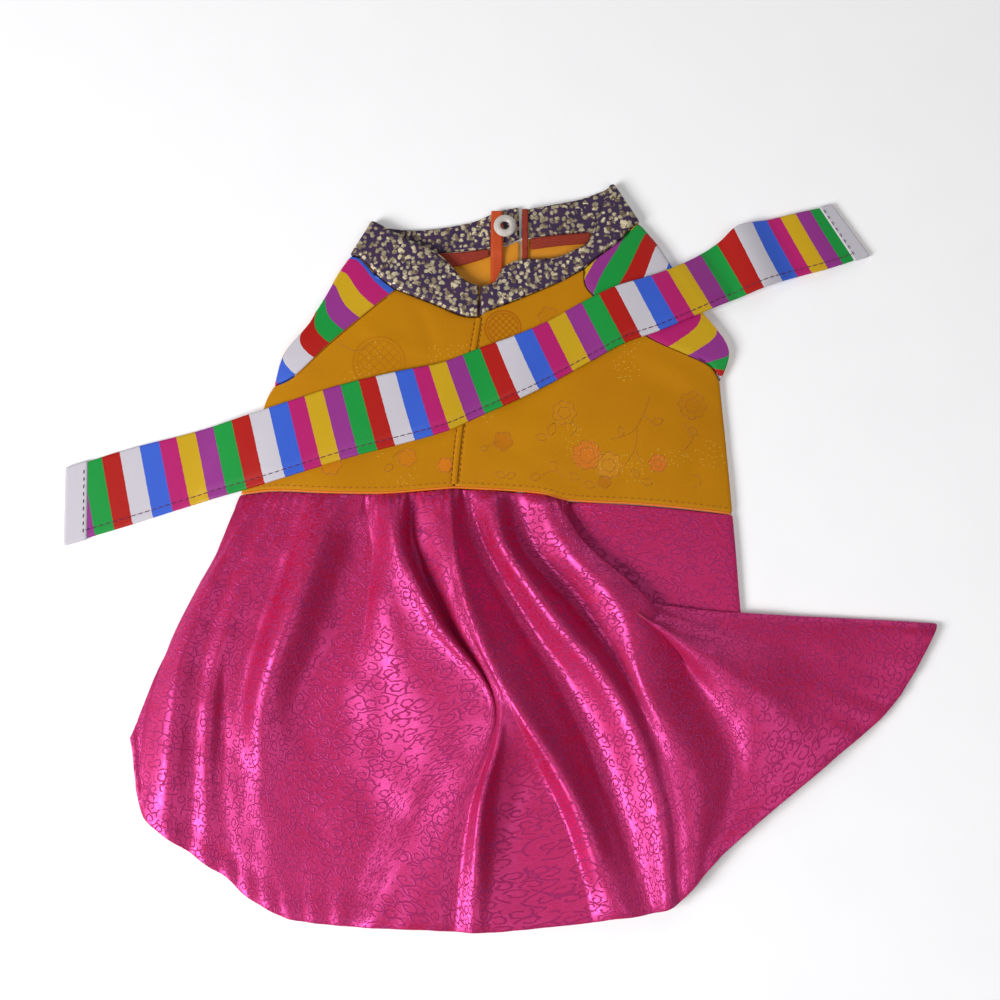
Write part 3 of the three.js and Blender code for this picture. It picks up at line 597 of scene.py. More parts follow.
WAIST_BACK_LEFT = WAIST_LEFT[:4] + [(9.8, 22.4)]
WAIST_BACK_RIGHT = [(10.1, 22.4)] + WAIST_RIGHT[3:]

# place along Y, the two sides there, the height of the fold, the height of the middle over it
SWELL = np.array([
    (0, -113, 102, 0, 2.3), (22, -111, 101, 0, 2.4), (50, -104, 98.5, 0, 2.7),
    (69, -97.6, 96.8, 0, 2.6), (82, -93, 100.5, EDGE_PUFF, 1.2),
    (96, -83.4, 93.5, EDGE_PUFF, 1.3), (112, -73, 82, EDGE_PUFF, 1.3),
    (127, -63.2, 72, EDGE_PUFF, 1.2), (143, -53.5, 60.3, EDGE_PUFF, 0.7),
    (160, -44, 49.4, EDGE_PUFF, 0)])

# soft creases of the bodice: (run, width, height)
BODICE_CREASES = (
    ([(-96, 52), (-78, 55), (-60, 52)], 4.0, 0.5), ([(-94, 40), (-70, 36), (-44, 40)], 5.0, -0.4),
    ([(-60, 96), (-46, 88), (-30, 84)], 4.0, 0.4), ([(-36, 104), (-30, 92), (-28, 82)], 3.0, -0.3),
    ([(-14, 60), (6, 52), (30, 50)], 6.0, 0.35), ([(-12, 30), (10, 36), (34, 32)], 6.0, 0.45),
    ([(2, 42), (24, 30), (40, 20)], 4.0, -0.35), ([(60, 84), (78, 74), (95, 66)], 5.0, 0.5),
    ([(92, 62), (84, 40), (88, 20)], 5.0, -0.4), ([(40, 66), (66, 62), (92, 50)], 6.0, 0.35),
    ([(20, 92), (30, 100), (40, 112)], 3.0, 0.35), ([(50, 40), (54, 28), (50, 19)], 4.0, -0.3))


def swell_at(y):
    return [np.interp(y, SWELL[:, 0], column) for column in SWELL.T[1:]]


def swell(x, y):
    left, right, edge, middle = swell_at(y)
    across = np.clip((2 * x - left - right) / (right - left), -1, 1)
    return edge + middle * (1 - across ** 6)


def front_height(x, y):
    """The middle of the front bodice cloth."""
    soft = creased(x, y, BODICE_CREASES) + 0.25 * ripple(x, y, 21, 3.0)
    return LAYER_LIFT + swell(x, y) + BODICE_CLOTH / 2 + soft


def stud_lift(x, y):
    far = np.hypot(x - STUD[0], y - STUD[1])
    lift = STUD_LIFT * (1 - step(far, SNAP_RADIUS + 2, STUD_LIFT_REACH))
    return np.where(x < 9.95, 0, lift)


def raised(plan, height):
    return np.concatenate([plan, height[..., None]], -1)


def over_bodice(plan, thickness):
    return raised(plan, LAYER_LIFT + swell(*xy(plan)) + thickness / 2)


def on_surface(plan, thickness):
    return raised(plan, stud_lift(*xy(plan)) + thickness / 2)


def seam_dip(rows, sides, depth=0.45, reach=1.6):
    """Draws the cloth down into its seams: sides are of 'left', 'right', 'low' and 'high'."""
    edges = {"left": rows[:, :1], "right": rows[:, -1:], "low": rows[:1], "high": rows[-1:]}
    for edge in (edges[side] for side in sides):
        apart = norm(rows[..., :2] - edge[..., :2])
        rows[..., 2] -= depth * np.exp(-(apart / reach) ** 2)
    return rows


# ---- bodice ----
def bodice_front(name, side, centre, waist, neck, sides):
    rows = patch(side, centre, waist, neck, 56, 64)
    rows = raised(rows, front_height(*xy(rows)))
    return dressed(name, seam_dip(rows, sides), BODICE_CLOTH, "gold", "gold lining")


def bodice_back(name, left, right, waist, neck):
    rows = patch(left, right, waist, neck, 40, 56)
    return dressed(name, on_surface(rows, BODICE_CLOTH), BODICE_CLOTH, "gold lining", "gold")


centre_front = chain(CENTRE_FRONT[:3], CENTRE_FRONT[2:])
front_left = bodice_front("front_left", chain(SIDE_LEFT, RAGLAN_LEFT), centre_front,
                          curve(WAIST_LEFT), curve(NECK_LEFT[::-1]), ("right", "high"))
front_right = bodice_front("front_right", centre_front, chain(SIDE_RIGHT, RAGLAN_RIGHT),
                           curve(WAIST_RIGHT), curve(NECK_RIGHT), ("left", "high"))
back_left = bodice_back("back_left", chain(SIDE_LEFT, BACK_RAGLAN_LEFT),
                        chain(CENTRE_BACK_LEFT[:2], CENTRE_BACK_LEFT[1:]),
                        curve(WAIST_BACK_LEFT), curve(BACK_NECK_LEFT))
back_right = bodice_back("back_right", chain(CENTRE_BACK_RIGHT[:2], CENTRE_BACK_RIGHT[1:]),
                         chain(SIDE_RIGHT, BACK_RAGLAN_RIGHT), curve(WAIST_BACK_RIGHT),
                         curve(BACK_NECK_RIGHT))


def on_front(plan, lift=0.0):
    """Plan points on the top of the front bodice, lifted a little."""
    plan = np.asarray(plan, float)
    return raised(plan, front_height(*xy(plan)) + BODICE_CLOTH / 2 + lift)


def beside(plan, away):
    """A run of plan points moved sideways, to the left of its way."""
    way = unit(np.gradient(plan, axis=0))
    return plan + np.stack([-way[:, 1], way[:, 0]], -1) * away


# The seam down the middle of the front is stitched as a narrow raised tuck.
TUCK_HEIGHTS = (-0.25, 0.1, 0.28, 0.32, 0.34, 0.32, 0.28, 0.1, -0.25)
walk = centre_front(np.linspace(0.01, 0.99, 90))
tuck = np.stack([beside(walk, off) for off in np.linspace(1.3, -1.3, 9)], 1)
tuck = raised(tuck, front_height(*xy(tuck)) + BODICE_CLOTH / 2 + np.array(TUCK_HEIGHTS))
centre_tuck = cloth("centre_tuck", tuck, 0.5, "gold", "gold")
tuck_stitches = tubes("tuck_stitches", sum(
    (stitches(on_front(beside(walk, off)), 1.7, 0.7) for off in (1.75, -1.75)), []),
                      0.16, "gold thread")


# The lower edge of the bodice is turned and edge-stitched over the top of the skirt.
waist_line = np.concatenate([curve(WAIST_LEFT)(np.linspace(0.004, 1, 120)),
                             curve(WAIST_RIGHT)(np.linspace(0.01, 0.996, 140))])
waist_edge = tubes("waist_edge", [on_front(beside(waist_line, -0.15), -0.62)], 0.55,
                   "gold edge", sides=10)
waist_stitches = tubes("waist_stitches",
                       stitches(on_front(beside(waist_line, 1.9)), 1.9, 0.8), 0.15, "gold thread")


# Woven sprays stand a hair's breadth proud of the satin.
def petals(x, y, radius, count, turn, depth=0.22):
    a = np.linspace(0, 2 * math.pi, 12 * count + 1)
    r = radius * (1 - depth + depth * np.abs(np.cos(count * a / 2 + turn)))
    return np.stack([x + r * np.cos(a), y + r * np.sin(a)], -1)


def leaf(x, y, length, heading, width=0.3):
    t = np.linspace(0, 1, 12)
    side = np.sin(math.pi * t) * width * length
    out = np.stack([np.r_[t, t[::-1]] * length, np.r_[side, -side]], -1)
    c, s = math.cos(heading), math.sin(heading)
    return out @ np.array([[c, s], [-s, c]]) + (x, y)


SPRAYS = (
    [curve(run)(np.linspace(0, 1, 24)) for run in (
        [(65.8, 64), (62.6, 55.6), (57.4, 47.9), (47.4, 44.6)], [(60, 51), (59, 41.1), (54.2, 33)],
        [(59, 41.1), (62.3, 33)], [(18.5, 28.9), (21.5, 30.7), (24.9, 31.5), (25, 35), (22, 35)],
        [(24.9, 31.5), (28.6, 28)], [(83, 24), (87, 26), (86, 29.5), (83, 29)],
        [(-6, 41), (-2, 43), (1, 44)], [(31, 46), (34, 50), (30, 54)], [(62.6, 55.6), (67, 52)],
        [(-46, 36), (-42, 40), (-38, 38)], [(-84, 40), (-78, 46), (-70, 47)],
        [(-70, 60), (-62, 66), (-52, 66)], [(80, 52), (84, 46), (80, 40)],
        [(14, 90), (18, 94), (22, 97)], [(-70, 88), (-62, 84), (-54, 88)])]
    + [petals(*flower) for flower in (
        (38.3, 38.1, 6.6, 7, 0.2), (38.3, 38.1, 3.6, 5, 0.5), (47.5, 33.6, 6.0, 8, 0.1),
        (47.5, 33.6, 3.0, 5, 0.4), (68.8, 34.6, 4.0, 6, 0.3), (68.8, 34.6, 1.9, 5, 0.0),
        (2.2, 44.2, 4.2, 5, 0.6), (28.5, 56.5, 5.4, 7, 0.2), (28.5, 56.5, 2.8, 5, 0.9),
        (-22.7, 33.7, 3.4, 6, 0.1), (45.7, 26.3, 2.8, 5, 0.4), (-39, 37, 4.2, 6, 0.8),
        (84, 60, 6.3, 8, 0.3), (84, 60, 3.2, 5, 0.1), (-66, 56, 5.3, 7, 0.5),
        (-72, 34, 4.8, 6, 0.2), (22, 99, 4.6, 6, 0.4))]
    + [leaf(*spot) for spot in (
        (35, 27.5, 5, 2.6), (37, 26.4, 5, -0.5), (3, 28.5, 4.5, 2.7), (3.4, 28.2, 4.5, 0.4),
        (60.5, 28, 5, 2.2), (61.5, 27, 5, -0.3), (-4, 41.6, 4, 3.4), (22, 46.4, 6, 1.2),
        (21, 45, 5, 2.8), (66.5, 52, 5, 0.3), (18.5, 28.9, 5, 3.3), (53, 46, 4.5, 1.6),
        (-45, 34, 5, 3.8), (-77, 47, 5, 1.5), (-58, 66, 5, 0.9), (82, 50, 5, -0.6))])
front_sprays = tubes("front_sprays", [
    on_front(run, -0.02) for run in SPRAYS], 0.2, "gold spray", 4, 0.45)


# ---- sleeves ----
def stripe_numbers(rows_shape, across, raglan, shoulder, first):
    """The stripe count at each point, from where the stripes cross the two edges."""
    height, width = rows_shape
    v = np.linspace(0, 1, height)
    count = first + np.arange(len(raglan))
    past = 4  # stripes that are carried on beyond each end
    numbers = np.empty((height, width))
    for i, u in enumerate(across):
        edges = (1 - u) * np.array(raglan) + u * np.array(shoulder)
        slope_in, slope_out = edges[1] - edges[0], edges[-1] - edges[-2]
        edges = np.r_[edges[0] - past * slope_in, edges, edges[-1] + past * slope_out]
        numbers[:, i] = np.interp(v, edges, np.r_[count[0] - past, count, count[-1] + past])
    return numbers


def sleeve(name, raglan, shoulder, neck, cuff, back_raglan, back_neck, stripes_at):
    along, over, under = 72, 40, 24
    front = patch(curve(raglan[::-1]), curve(shoulder), curve(neck), curve(cuff), over, along)
    back = patch(curve(shoulder), curve(back_raglan[::-1]), curve(back_neck), curve(cuff[::-1]),
                 under, along)
    upper = over_bodice(front, BODICE_CLOTH)
    upper[..., 2] += 0.3 * ripple(*xy(upper), 16, 8.0)
    rows = folded(seam_dip(upper, ("left", "low")), on_surface(back, BODICE_CLOTH))
    across = np.r_[np.linspace(0, 1, over + 1), np.full(rows.shape[1] - over - 1, 1.0)]
    number = stripe_numbers(rows.shape[:2], across, *stripes_at)
    uv = np.stack([number, on_cloth(rows)[..., 0]], -1)
    return dressed(name, rows, BODICE_CLOTH, "stripes", "gold lining", uv)


# Where the stripes cross the raglan seam and the folded edge, as shares from collar to cuff, and
# the number of the first of them.
STRIPES_LEFT = ((0.04, 0.17, 0.29, 0.42, 0.54, 0.68, 0.83, 0.95),
                (0.03, 0.23, 0.41, 0.61, 0.78, 1.0, 1.2, 1.4), 2)
STRIPES_RIGHT = ((0.16, 0.258, 0.353, 0.423, 0.51, 0.653, 0.766, 0.873, 0.916, 0.95),
                 (-0.05, 0.12, 0.27, 0.44, 0.65, 0.86, 1.0, 1.2, 1.4, 1.6), 5)
sleeve_left = sleeve("sleeve_left", RAGLAN_LEFT, SHOULDER_LEFT, SLEEVE_NECK_LEFT, CUFF_LEFT,
                     BACK_RAGLAN_LEFT, SLEEVE_END_LEFT, STRIPES_LEFT)
sleeve_right = sleeve("sleeve_right", RAGLAN_RIGHT, SHOULDER_RIGHT, SLEEVE_NECK_RIGHT, CUFF_RIGHT,
                      BACK_RAGLAN_RIGHT, SLEEVE_END_RIGHT, STRIPES_RIGHT)


# ---- collar and the inside of the neck ----
def collar(name, seam_front, free_front, seam_back, free_back):
    upper = over_bodice(strip(seam_front, free_front, 96, 22), COLLAR_BAND)
    upper[..., 2] += 0.3 * ripple(*xy(upper), 14, 11.0)
    lower = on_surface(strip(seam_back, free_back, 72, 22), COLLAR_BAND)
    lower[..., 2] += 0.12 * np.abs(ripple(*xy(lower), 12, 5.0))
    rows = folded(seam_dip(upper, ("low",), 0.5, 1.4), lower)
    return dressed(name, rows, COLLAR_BAND, "navy", "navy", rows[..., :2] * MM)


collar_left = collar("collar_left", chain(NECK_LEFT, SLEEVE_NECK_LEFT), curve(COLLAR_FREE_LEFT),
                     chain(SLEEVE_END_LEFT, BACK_NECK_LEFT), curve(COLLAR_TOP_LEFT))
collar_right = collar("collar_right", chain(NECK_RIGHT, SLEEVE_NECK_RIGHT),
                      curve(COLLAR_FREE_RIGHT), chain(SLEEVE_END_RIGHT, BACK_NECK_RIGHT[::-1]),
                      curve(COLLAR_TOP_RIGHT))


def back_strip(name, low, high, rise, finish, wave=0.15):
    """A tape, facing or binding on the inside of the back: low and high are its two edges."""
    rows = strip(curve(low), curve(high), 30, 10)
    x, y = xy(rows)
    height = stud_lift(x, y) + rise(y) + SEAM_GAP + TAPE_CLOTH / 2
    rows = raised(rows, height + wave * np.abs(ripple(x, y, 5, 2.0)))
    return dressed(name, rows, TAPE_CLOTH, finish, finish)


def over_panel(y):
    return np.full(y.shape, BODICE_CLOTH)


def over_band(seam):
    return lambda y: BODICE_CLOTH + (COLLAR_BAND - BODICE_CLOTH) * step(y, seam - 4.5, seam - 0.8)


neck_tape_left = back_strip("neck_tape_left", [(-27, 121.4), (-15, 123.6), (-3.8, 127.2)],
                            [(-27, 129), (-15, 129.9), (-3.8, 131.1)], over_panel, "tape")
neck_tape_right = back_strip("neck_tape_right", [(14.2, 129.8), (28, 131.8), (41, 133.3)],
                             [(14.2, 135.4), (28, 137.1), (41, 138.6)], over_panel, "tape")
placket_tab = back_strip("placket_tab", [(-3.2, 148.4), (-3.4, 130), (-3.2, 112)],
                         [(2.2, 148.4), (2.5, 130), (2.2, 112)], over_band(131.2), "placket")
back_edge_binding = back_strip("back_edge_binding", [(10.5, 148.6), (10.5, 136), (10.5, 124)],
                               [(13.4, 148.6), (13.4, 136), (13.4, 124)], over_band(135.0), "tape")

# ---- sash ----
SASH = np.array([
    (-187, 33, -186.4, -0.4, 0), (-161, 41.5, -159.5, 7.7, 0), (-132, 49, -132.5, 16.3, 0.4),
    (-99.5, 59, -99, 25.8, 0.6), (-68, 69, -67, 35.8, 0), (-45, 74.4, -43.5, 42, 0.7),
    (-23.5, 79, -21, 48.5, 0.5), (-8.7, 85, -9, 54.2, 0), (7, 90.5, 10, 62.5, 1),
    (21, 96.7, 22.5, 69, 0.5), (35.5, 105, 39.5, 78.5, 0.2), (50.7, 112.5, 55, 87, 0.8),
    (67.5, 118, 70.5, 92.7, 0.3), (83, 124.7, 87, 100, 0.4), (97.5, 134, 103, 107, 1.8),
    (105.5, 141, 118, 113, 4), (120, 144.7, 131.7, 118, 1), (132, 147.5, 145, 121.5, 1.6),
    (148.6, 151.6, 164.5, 128.3, 0)])
SASH_SLOPE_REACH = 26
# where white meets blue in each repeat of the stripes, on the sash's upper and lower edge
REPEATS_ABOVE = (-267.0, -211.4, -155.3, -98.9, -44.4, 7.0, 58.9, 111.9, 158.0)
REPEATS_BELOW = (-262.0, -205.2, -148.3, -91.1, -35.6, 17.7, 70.4, 124.9, 173.0)
SASH_WIDTH, FLANGE = 33.0, 3.6  # below the flange's line the sash is a flat seam allowance
NUMBERS = 1.05 + len(STRIPES) * np.arange(len(REPEATS_ABOVE))  # the stripe count at each repeat


def under_sash(x, y):
    left, right = swell_at(y)[:2]
    outside = np.maximum(np.maximum(left - x, x - right), 0)
    return (LAYER_LIFT + swell(x, y) + BODICE_CLOTH) * (1 - step(outside, 0, SASH_SLOPE_REACH))


def sash_rows(across=25):
    upper = through(np.stack([SASH[:, 0], SASH[:, 1], SASH[:, 4]], -1), 16)
    lower = through(np.stack([SASH[:, 2], SASH[:, 3], SASH[:, 4]], -1), 16)
    share = np.linspace(0, 1, across)[:, None, None]
    rows = (1 - share) * lower[None] + share * upper[None]
    x, y = xy(rows)
    number = ((1 - share[..., 0]) * np.interp(x, REPEATS_BELOW, NUMBERS)
              + share[..., 0] * np.interp(x, REPEATS_ABOVE, NUMBERS))
    up = share[..., 0] * norm(upper - lower)[None]
    base = under_sash(x, y) + SASH_CLOTH / 2
    base += np.where(base > SASH_CLOTH, SEAM_GAP, 0)
    soft = 0.35 * ripple(x, y, 24, 6.0) * step(base, 0.8, 2.0)
    groove = -0.7 * np.exp(-((up - FLANGE) / 0.55) ** 2) - 0.3 * step(FLANGE - up, 0.2, 0.8)
    edge = 0.25 * np.sin(x / 5.3) * np.exp(-up / 2.5) * step(base, 0.8, 2.0)
    rows[..., 2] += base + soft + edge + groove * step(base, 0.8, 1.4)
    rows[..., 2] = np.maximum(rows[..., 2], SASH_CLOTH / 2)
    return rows, np.stack([number, up * MM], -1)


rows, uv = sash_rows()
sash = dressed("sash", rows, SASH_CLOTH, "stripes", "stripes", uv)
line = FLANGE / SASH_WIDTH * (len(rows) - 1)
seam = rows[int(line)] + (rows[int(line) + 1] - rows[int(line)]) * (line % 1)
seam = seam + (0, 0, SASH_CLOTH / 2 + 0.12)
sash_stitches = tubes("sash_stitches", stitches(seam, 2.6, 0.35), 0.19,
                      "stripes thread")
on_sash = [sash_stitches]
for side, columns, thread_column in (("left", np.s_[:, :7], 5), ("right", np.s_[:, -7:], -6)):
    end = rows[columns] + (0, 0, 0.3)
    end[..., :2] += 0.04 * (end[..., :2] - end[..., :2].mean((0, 1)))
    white = np.zeros(end.shape[:2] + (2,)) + 0.5
    across = rows[1:-1, thread_column] + (0, 0, SASH_CLOTH / 2 + 0.5)
    on_sash += [cloth("sash_end_" + side, end, SASH_CLOTH + 0.2, "stripes", "stripes", white),
                tubes("sash_end_stitches_" + side, stitches(across, 2.0, 1.2), 0.16,
                      "stripes thread")]

# ---- skirt ----
LEVELS = (0, 0.13, 0.3, 0.5, 0.73, 1)
# For each fold line from waist to hem: x and height of the cloth's middle at the LEVELS, y of the
# hem, then y at the inner levels where the line isn't even, and which way the cloth turns back.
SKIRT_FOLDS = (
    ("left side", (-111, -116, -122, -132, -144, -154.5), (2.2, 2.1, 2, 2, 2, 2), -82),
    ("left facet", (-108, -114, -127, -139, -146, -148), (2.6, 3.4, 4, 4.5, 4.5, 3), -113.5),
    ("left crest", (-104, -112, -124, -134, -137, -140), (3.2, 5, 7, 8.5, 8.5, 5.5), -121),
    ("crease", (-97, -105.5, -117, -125, -127.5, -128), (3, 4.4, 5.8, 6, 5, 3), -129),
    ("low rib", (-93, -100.5, -111, -119, -121.5, -119.5), (3.4, 4.8, 6, 6.2, 5.2, 3.4), -135),
    ("crease", (-89.5, -96, -105, -114, -116.5, -112.5), (3.6, 4.6, 4.8, 4.2, 3.4, 2.6), -139),
    ("ridge 1, left", (-83, -88, -98, -107, -108.5, -105), (3.6, 4.6, 4.4, 3.8, 3.4, 2.8), -146),
    ("ridge 1", (-73.5, -76.5, -87, -98.5, -97.5, -88.5), (4.8, 9.5, 11.5, 8.2, 4.6, 3), -155),
    ("valley A", (-58, -63.5, -72, -84, -85.5, -79.5), (3.8, 3.6, 4.6, 3.6, 3.4, 2.8), -157),
    ("valley A, right", (-56, -56.5, -58.5, -66.5, -67.5, -66),
     (3.4, 2.6, 2.8, 3, 3, 2.6), -158.5),
    ("soft ridge", (-52, -51, -51, -45, -46.5, -63), (5, 4.4, 6.6, 6.6, 3.6, 2.6), -158.7),
    ("ridge 2", (-47, -43, -32, -4.2, -29, -54.5), (6.5, 9.5, 9.6, 11.4, 7, 4.6), -159),
    ("ridge 2, right", (-40.2, -40.2, -26, -1.8, -18, -28), (6, 8.5, 12, 12.2, 9.4, 5), -160),
    ("valley B", (-37, -36.7, -22.4, -0.8, -11.5, -19), (3.6, 3, 6, 11.6, 9, 3.6), -160.7),
    ("ridge 3, left", (-34.7, -32, -20, 0.2, -9, -14), (4.4, 4.6, 7.4, 12.8, 11, 5), -160.8),
    ("ridge 3, left branch", (-27.3, -25.3, -17, 1.4, -7.3, -9.8),
     (6.2, 8, 10, 13.6, 12, 5.5), -160.9),
    ("hollow, left", (-24.4, -22.4, -14.7, 3, -0.3, -1.2), (6.6, 9, 11.4, 14, 6.4, 4.4), -160.9),
    ("hollow, right", (-22.2, -20.6, -13.1, 4.4, 23.8, 38),
     (6.8, 9.8, 12.6, 14.4, 2.6, 2.2), -157.5),
    ("ridge 3, right branch", (-20.3, -19, -11.5, 5.9, 30.5, 48.5),
     (6.8, 10, 13.2, 14.6, 10.5, 5), -155.5),
    ("valley D", (-16.2, -13.7, 0, 20, 41, 58.5), (4.4, 5, 6.8, 8.4, 6, 4), -154.6),
    ("ridge 4, left", (-13.8, -7, 9.8, 32, 47.7, 64.5), (3.4, 2.6, 3.2, 3.6, 3.6, 3.2), -153.4),
    ("ridge 4", (-3.4, 1.6, 21.4, 49.4, 64.8, 70.6), (6.6, 9.4, 11.6, 12.6, 10.5, 6), -151.5),
    ("valley E", (6.9, 11.2, 35.8, 56.8, 70.2, 75), (3.4, 2.6, 3.4, 9.4, 9.4, 5), -148.8),
    ("ridge 5", (18, 27.6, 52, 61, 80.5, 79), (6.8, 9.4, 11, 12.4, 10.8, 5.8), -144.8),
    ("flap valley", (24.5, 36, 64, 80.7, 98.8, 92.7), (5.8, 8, 8, 6.5, 6, 5.2), -130),
    ("flap ridge", (27.4, 30.3, 39, 66, 103, 141.7), (5.4, 7, 9, 11, 11, 5), -89.7),
    ("flap, upper", (28.4, 29.9, 34, 48, 101.7, 167), (5.2, 6, 7, 8.5, 8, 3), -68),
    ("flap edge", (30, 29.9, 30.1, 36.7, 60.3, 186.9),
     (4.15, 4.15, 4.15, 4.15, 4.15, 1.4), -34.5, (10, -0.7, -13.5, -24.6), 1),
    ("under the flap", (25, 27.9, 39, 64.4, 100, 143),
     (3.4, 3.4, 3.4, 3.4, 3.4, 0.8), -85, (6.7, -15.6, -41, -62)),
    ("inner fold", (18.5, 22, 46, 64.2, 80.3, 81.3),
     (2.72, 2.72, 2.72, 2.72, 2.72, 2.72), -135, (-1.4, -30, -64, -103.4), -1),
    ("flat side, left", (29.3, 29.6, 43.5, 66.4, 84.7, 86),
     (2, 2, 2, 2, 2, 2), -131, (-0.5, -27, -62, -95)),
    ("flat side", (39.5, 40.3, 48.6, 69.3, 86.8, 90.3),
     (3.9, 3.2, 2, 2, 2, 2), -128, (-0.5, -27, -62, -95)),
    ("flat side", (69.6, 71, 72.5, 81.2, 91, 98.7),
     (3.4, 3, 2, 2, 2, 2), -124.7, (-0.5, -24, -58, -91)),
    ("right side", (101, 102, 103.2, 105.4, 107.2, 108),
     (2.1, 2.1, 2, 2, 2, 2), -116.5, (-2.6, -24, -53.6, -85)),)
BACK_PAST = (109, 125)  # past this x the skirt lies on the table, not on its back panel
CELLS_ACROSS, CELLS_ALONG = 8, 12
FLAP_TURN, HEM_END = (28.4, 28.8), 28.2  # counted in fold lines, from the left side
HEM_LINE = 0.948  # the stitched line's share of the way from waist to hem
RELIEF_SPREAD, RELIEF_GAIN = 30, 0.45  # how far about a fold is evened, and what is added to it

# soft creases of the skirt: (run, width, height), and between which fold lines they are
SKIRT_CREASES = (
    (4, 9, [(-127, -45), (-126.5, -62), (-126, -104)], 2.2, -1.0),
    (4, 9, [(-116, -40), (-116, -60), (-114.5, -99)], 2.4, -0.8),
    (5, 11, [(-78, 12), (-88, -20), (-92, -60), (-84, -110)], 5.0, 0.7),
    (6, 11, [(-66, 16), (-74, -8), (-78, -40)], 3.0, -0.5),
    (9, 14, [(-56, 14), (-55, -16), (-48, -60), (-52, -100)], 4.0, -0.7),
    (9, 14, [(-50, 0), (-44, -40), (-30, -80), (-42, -125)], 3.5, 0.6),
    (11, 16, [(-38, -60), (-28, -84), (-34, -118)], 4.0, -0.6),
    (13, 19, [(-24, 16), (-20, -14), (-8, -50), (4, -74)], 2.6, 0.5),
    (15, 20, [(2, -76), (-2, -104), (-4, -140)], 4.0, -0.5),
    (16, 21, [(12, -86), (20, -112), (30, -146)], 4.0, 0.6),
    (19, 24, [(0, 10), (14, -22), (34, -60), (52, -96)], 3.4, 0.6),
    (20, 25, [(22, -34), (38, -60), (50, -92), (60, -130)], 3.0, -0.6),
    (22, 27, [(28, -4), (46, -34), (56, -50)], 2.4, 0.5),
    (23, 27, [(53.1, -41.4), (59.1, -57.9), (67.1, -74.4), (71.8, -90.7)], 1.3, 0.7),
    (22, 26, [(64, -96), (72, -112), (74, -140)], 3.2, -0.6),
    (25, 30, [(119.7, -29.8), (125.8, -38.2), (142.7, -49.1), (158.3, -60.8)], 0.9, 0.5),
    (25, 30, [(92, -44), (112, -58), (140, -74)], 6.0, -0.5),
    (24, 29, [(84, -60), (100, -80), (112, -96)], 5.0, 0.6),
    (25, 30, [(100, -26), (126, -30), (150, -34)], 4.0, -0.4),
    (24, 29, [(48, -20), (62, -28), (80, -34)], 2.4, 0.5),
)


def waist_y(x):
    line = np.array(WAIST_LEFT + WAIST_RIGHT[1:])
    return np.interp(x, line[:, 0], line[:, 1]) - WAIST_GAP


def fold_lines():
    """The knots of the skirt's fold lines; a turned edge becomes three, round its fold."""
    lines = []
    for _, x, z, hem_y, *rest in SKIRT_FOLDS:
        y = waist_y(x[0]) + (hem_y - waist_y(x[0])) * np.array(LEVELS)
        if rest:
            y[1:-1] = rest[0]
        edge = np.stack([x, y, z], -1)
        if len(rest) < 2:
            lines.append(edge)
            continue
        flat = np.diff(edge, axis=0)
        way = np.pad(unit(flat), ((1, 0), (0, 0))) + np.pad(unit(flat), ((0, 1), (0, 0)))
        inward = unit(np.stack([way[:, 1], -way[:, 0], 0 * way[:, 0]], -1)) * rest[1]
        for rise in (FLAP_RADIUS, 0, -FLAP_RADIUS):
            lines.append(edge + inward * (FLAP_RADIUS if rise else 0) + (0, 0, rise))
    return np.array(lines)


def skirt_floor(x):
    on_back = 1.5 * SKIRT_CLOTH + SEAM_GAP
    return on_back + (SKIRT_CLOTH / 2 - on_back) * step(x, *BACK_PAST)


def skirt_rows():
    lines = fold_lines()
    levels = through(lines.swapaxes(0, 1), CELLS_ALONG)
    rows = through(levels.swapaxes(0, 1), CELLS_ACROSS).swapaxes(0, 1)
    column = np.arange(rows.shape[1]) / CELLS_ACROSS
    v = np.linspace(0, 1, rows.shape[0])[:, None]
    x, y = xy(rows)
    extra = np.zeros(x.shape)
    for first, last, run, width, height in SKIRT_CREASES:
        here = step(column, first - 0.5, first + 0.5) * (1 - step(column, last - 0.5, last + 0.5))
        used = np.nonzero(here)[0]
        extra[:, used] += creased(x[:, used], y[:, used], [(run, width, height)]) * here[used]
    upper = 1 - step(column, *FLAP_TURN)
    padded = np.pad(rows[..., 2], ((0, 0), (RELIEF_SPREAD, RELIEF_SPREAD)), "edge")
    calm = np.hanning(2 * RELIEF_SPREAD + 1) / RELIEF_SPREAD
    evened = np.stack([np.convolve(line, calm, "valid") for line in padded])
    extra += RELIEF_GAIN * (rows[..., 2] - evened) * step(column, 1.0, 3.0)
    crumple = 0.7 * ripple(x, y, 17, 1.0) + 0.28 * ripple(x, y, 6.5, 4.0)
    hem = np.exp(-((1 - v) / 0.05) ** 2)
    length = np.pad(np.cumsum(norm(np.diff(rows[-1], axis=0))), (1, 0))
    pucker = hem * (0.45 * np.sin(length / 1.9 + 2.0 * np.sin(length / 17)))
    stitched = (-0.35 * np.exp(-((v - HEM_LINE) / 0.008) ** 2)
                + 0.2 * step(v, HEM_LINE, HEM_LINE + 0.015))
    rows[..., 2] += (extra + crumple * (1 - 0.5 * hem) + pucker + stitched) * upper
    rows[..., 2] = np.maximum(rows[..., 2], skirt_floor(x))
    top = LAYER_LIFT + swell(x[0], y[0] + 1.5) + BODICE_CLOTH / 2 - 0.75
    gathers = 0.35 * np.sin(x[0] * 1.9 + 3 * np.sin(x[0] / 9))
    caught = 1 - step(v, 0.0, 0.035)
    rows[..., 2] += (top + gathers * 0.5 - rows[0, :, 2]) * caught * upper
    rows[..., 2] += gathers * upper * np.exp(-((v - 0.03) / 0.04) ** 2)
    return rows


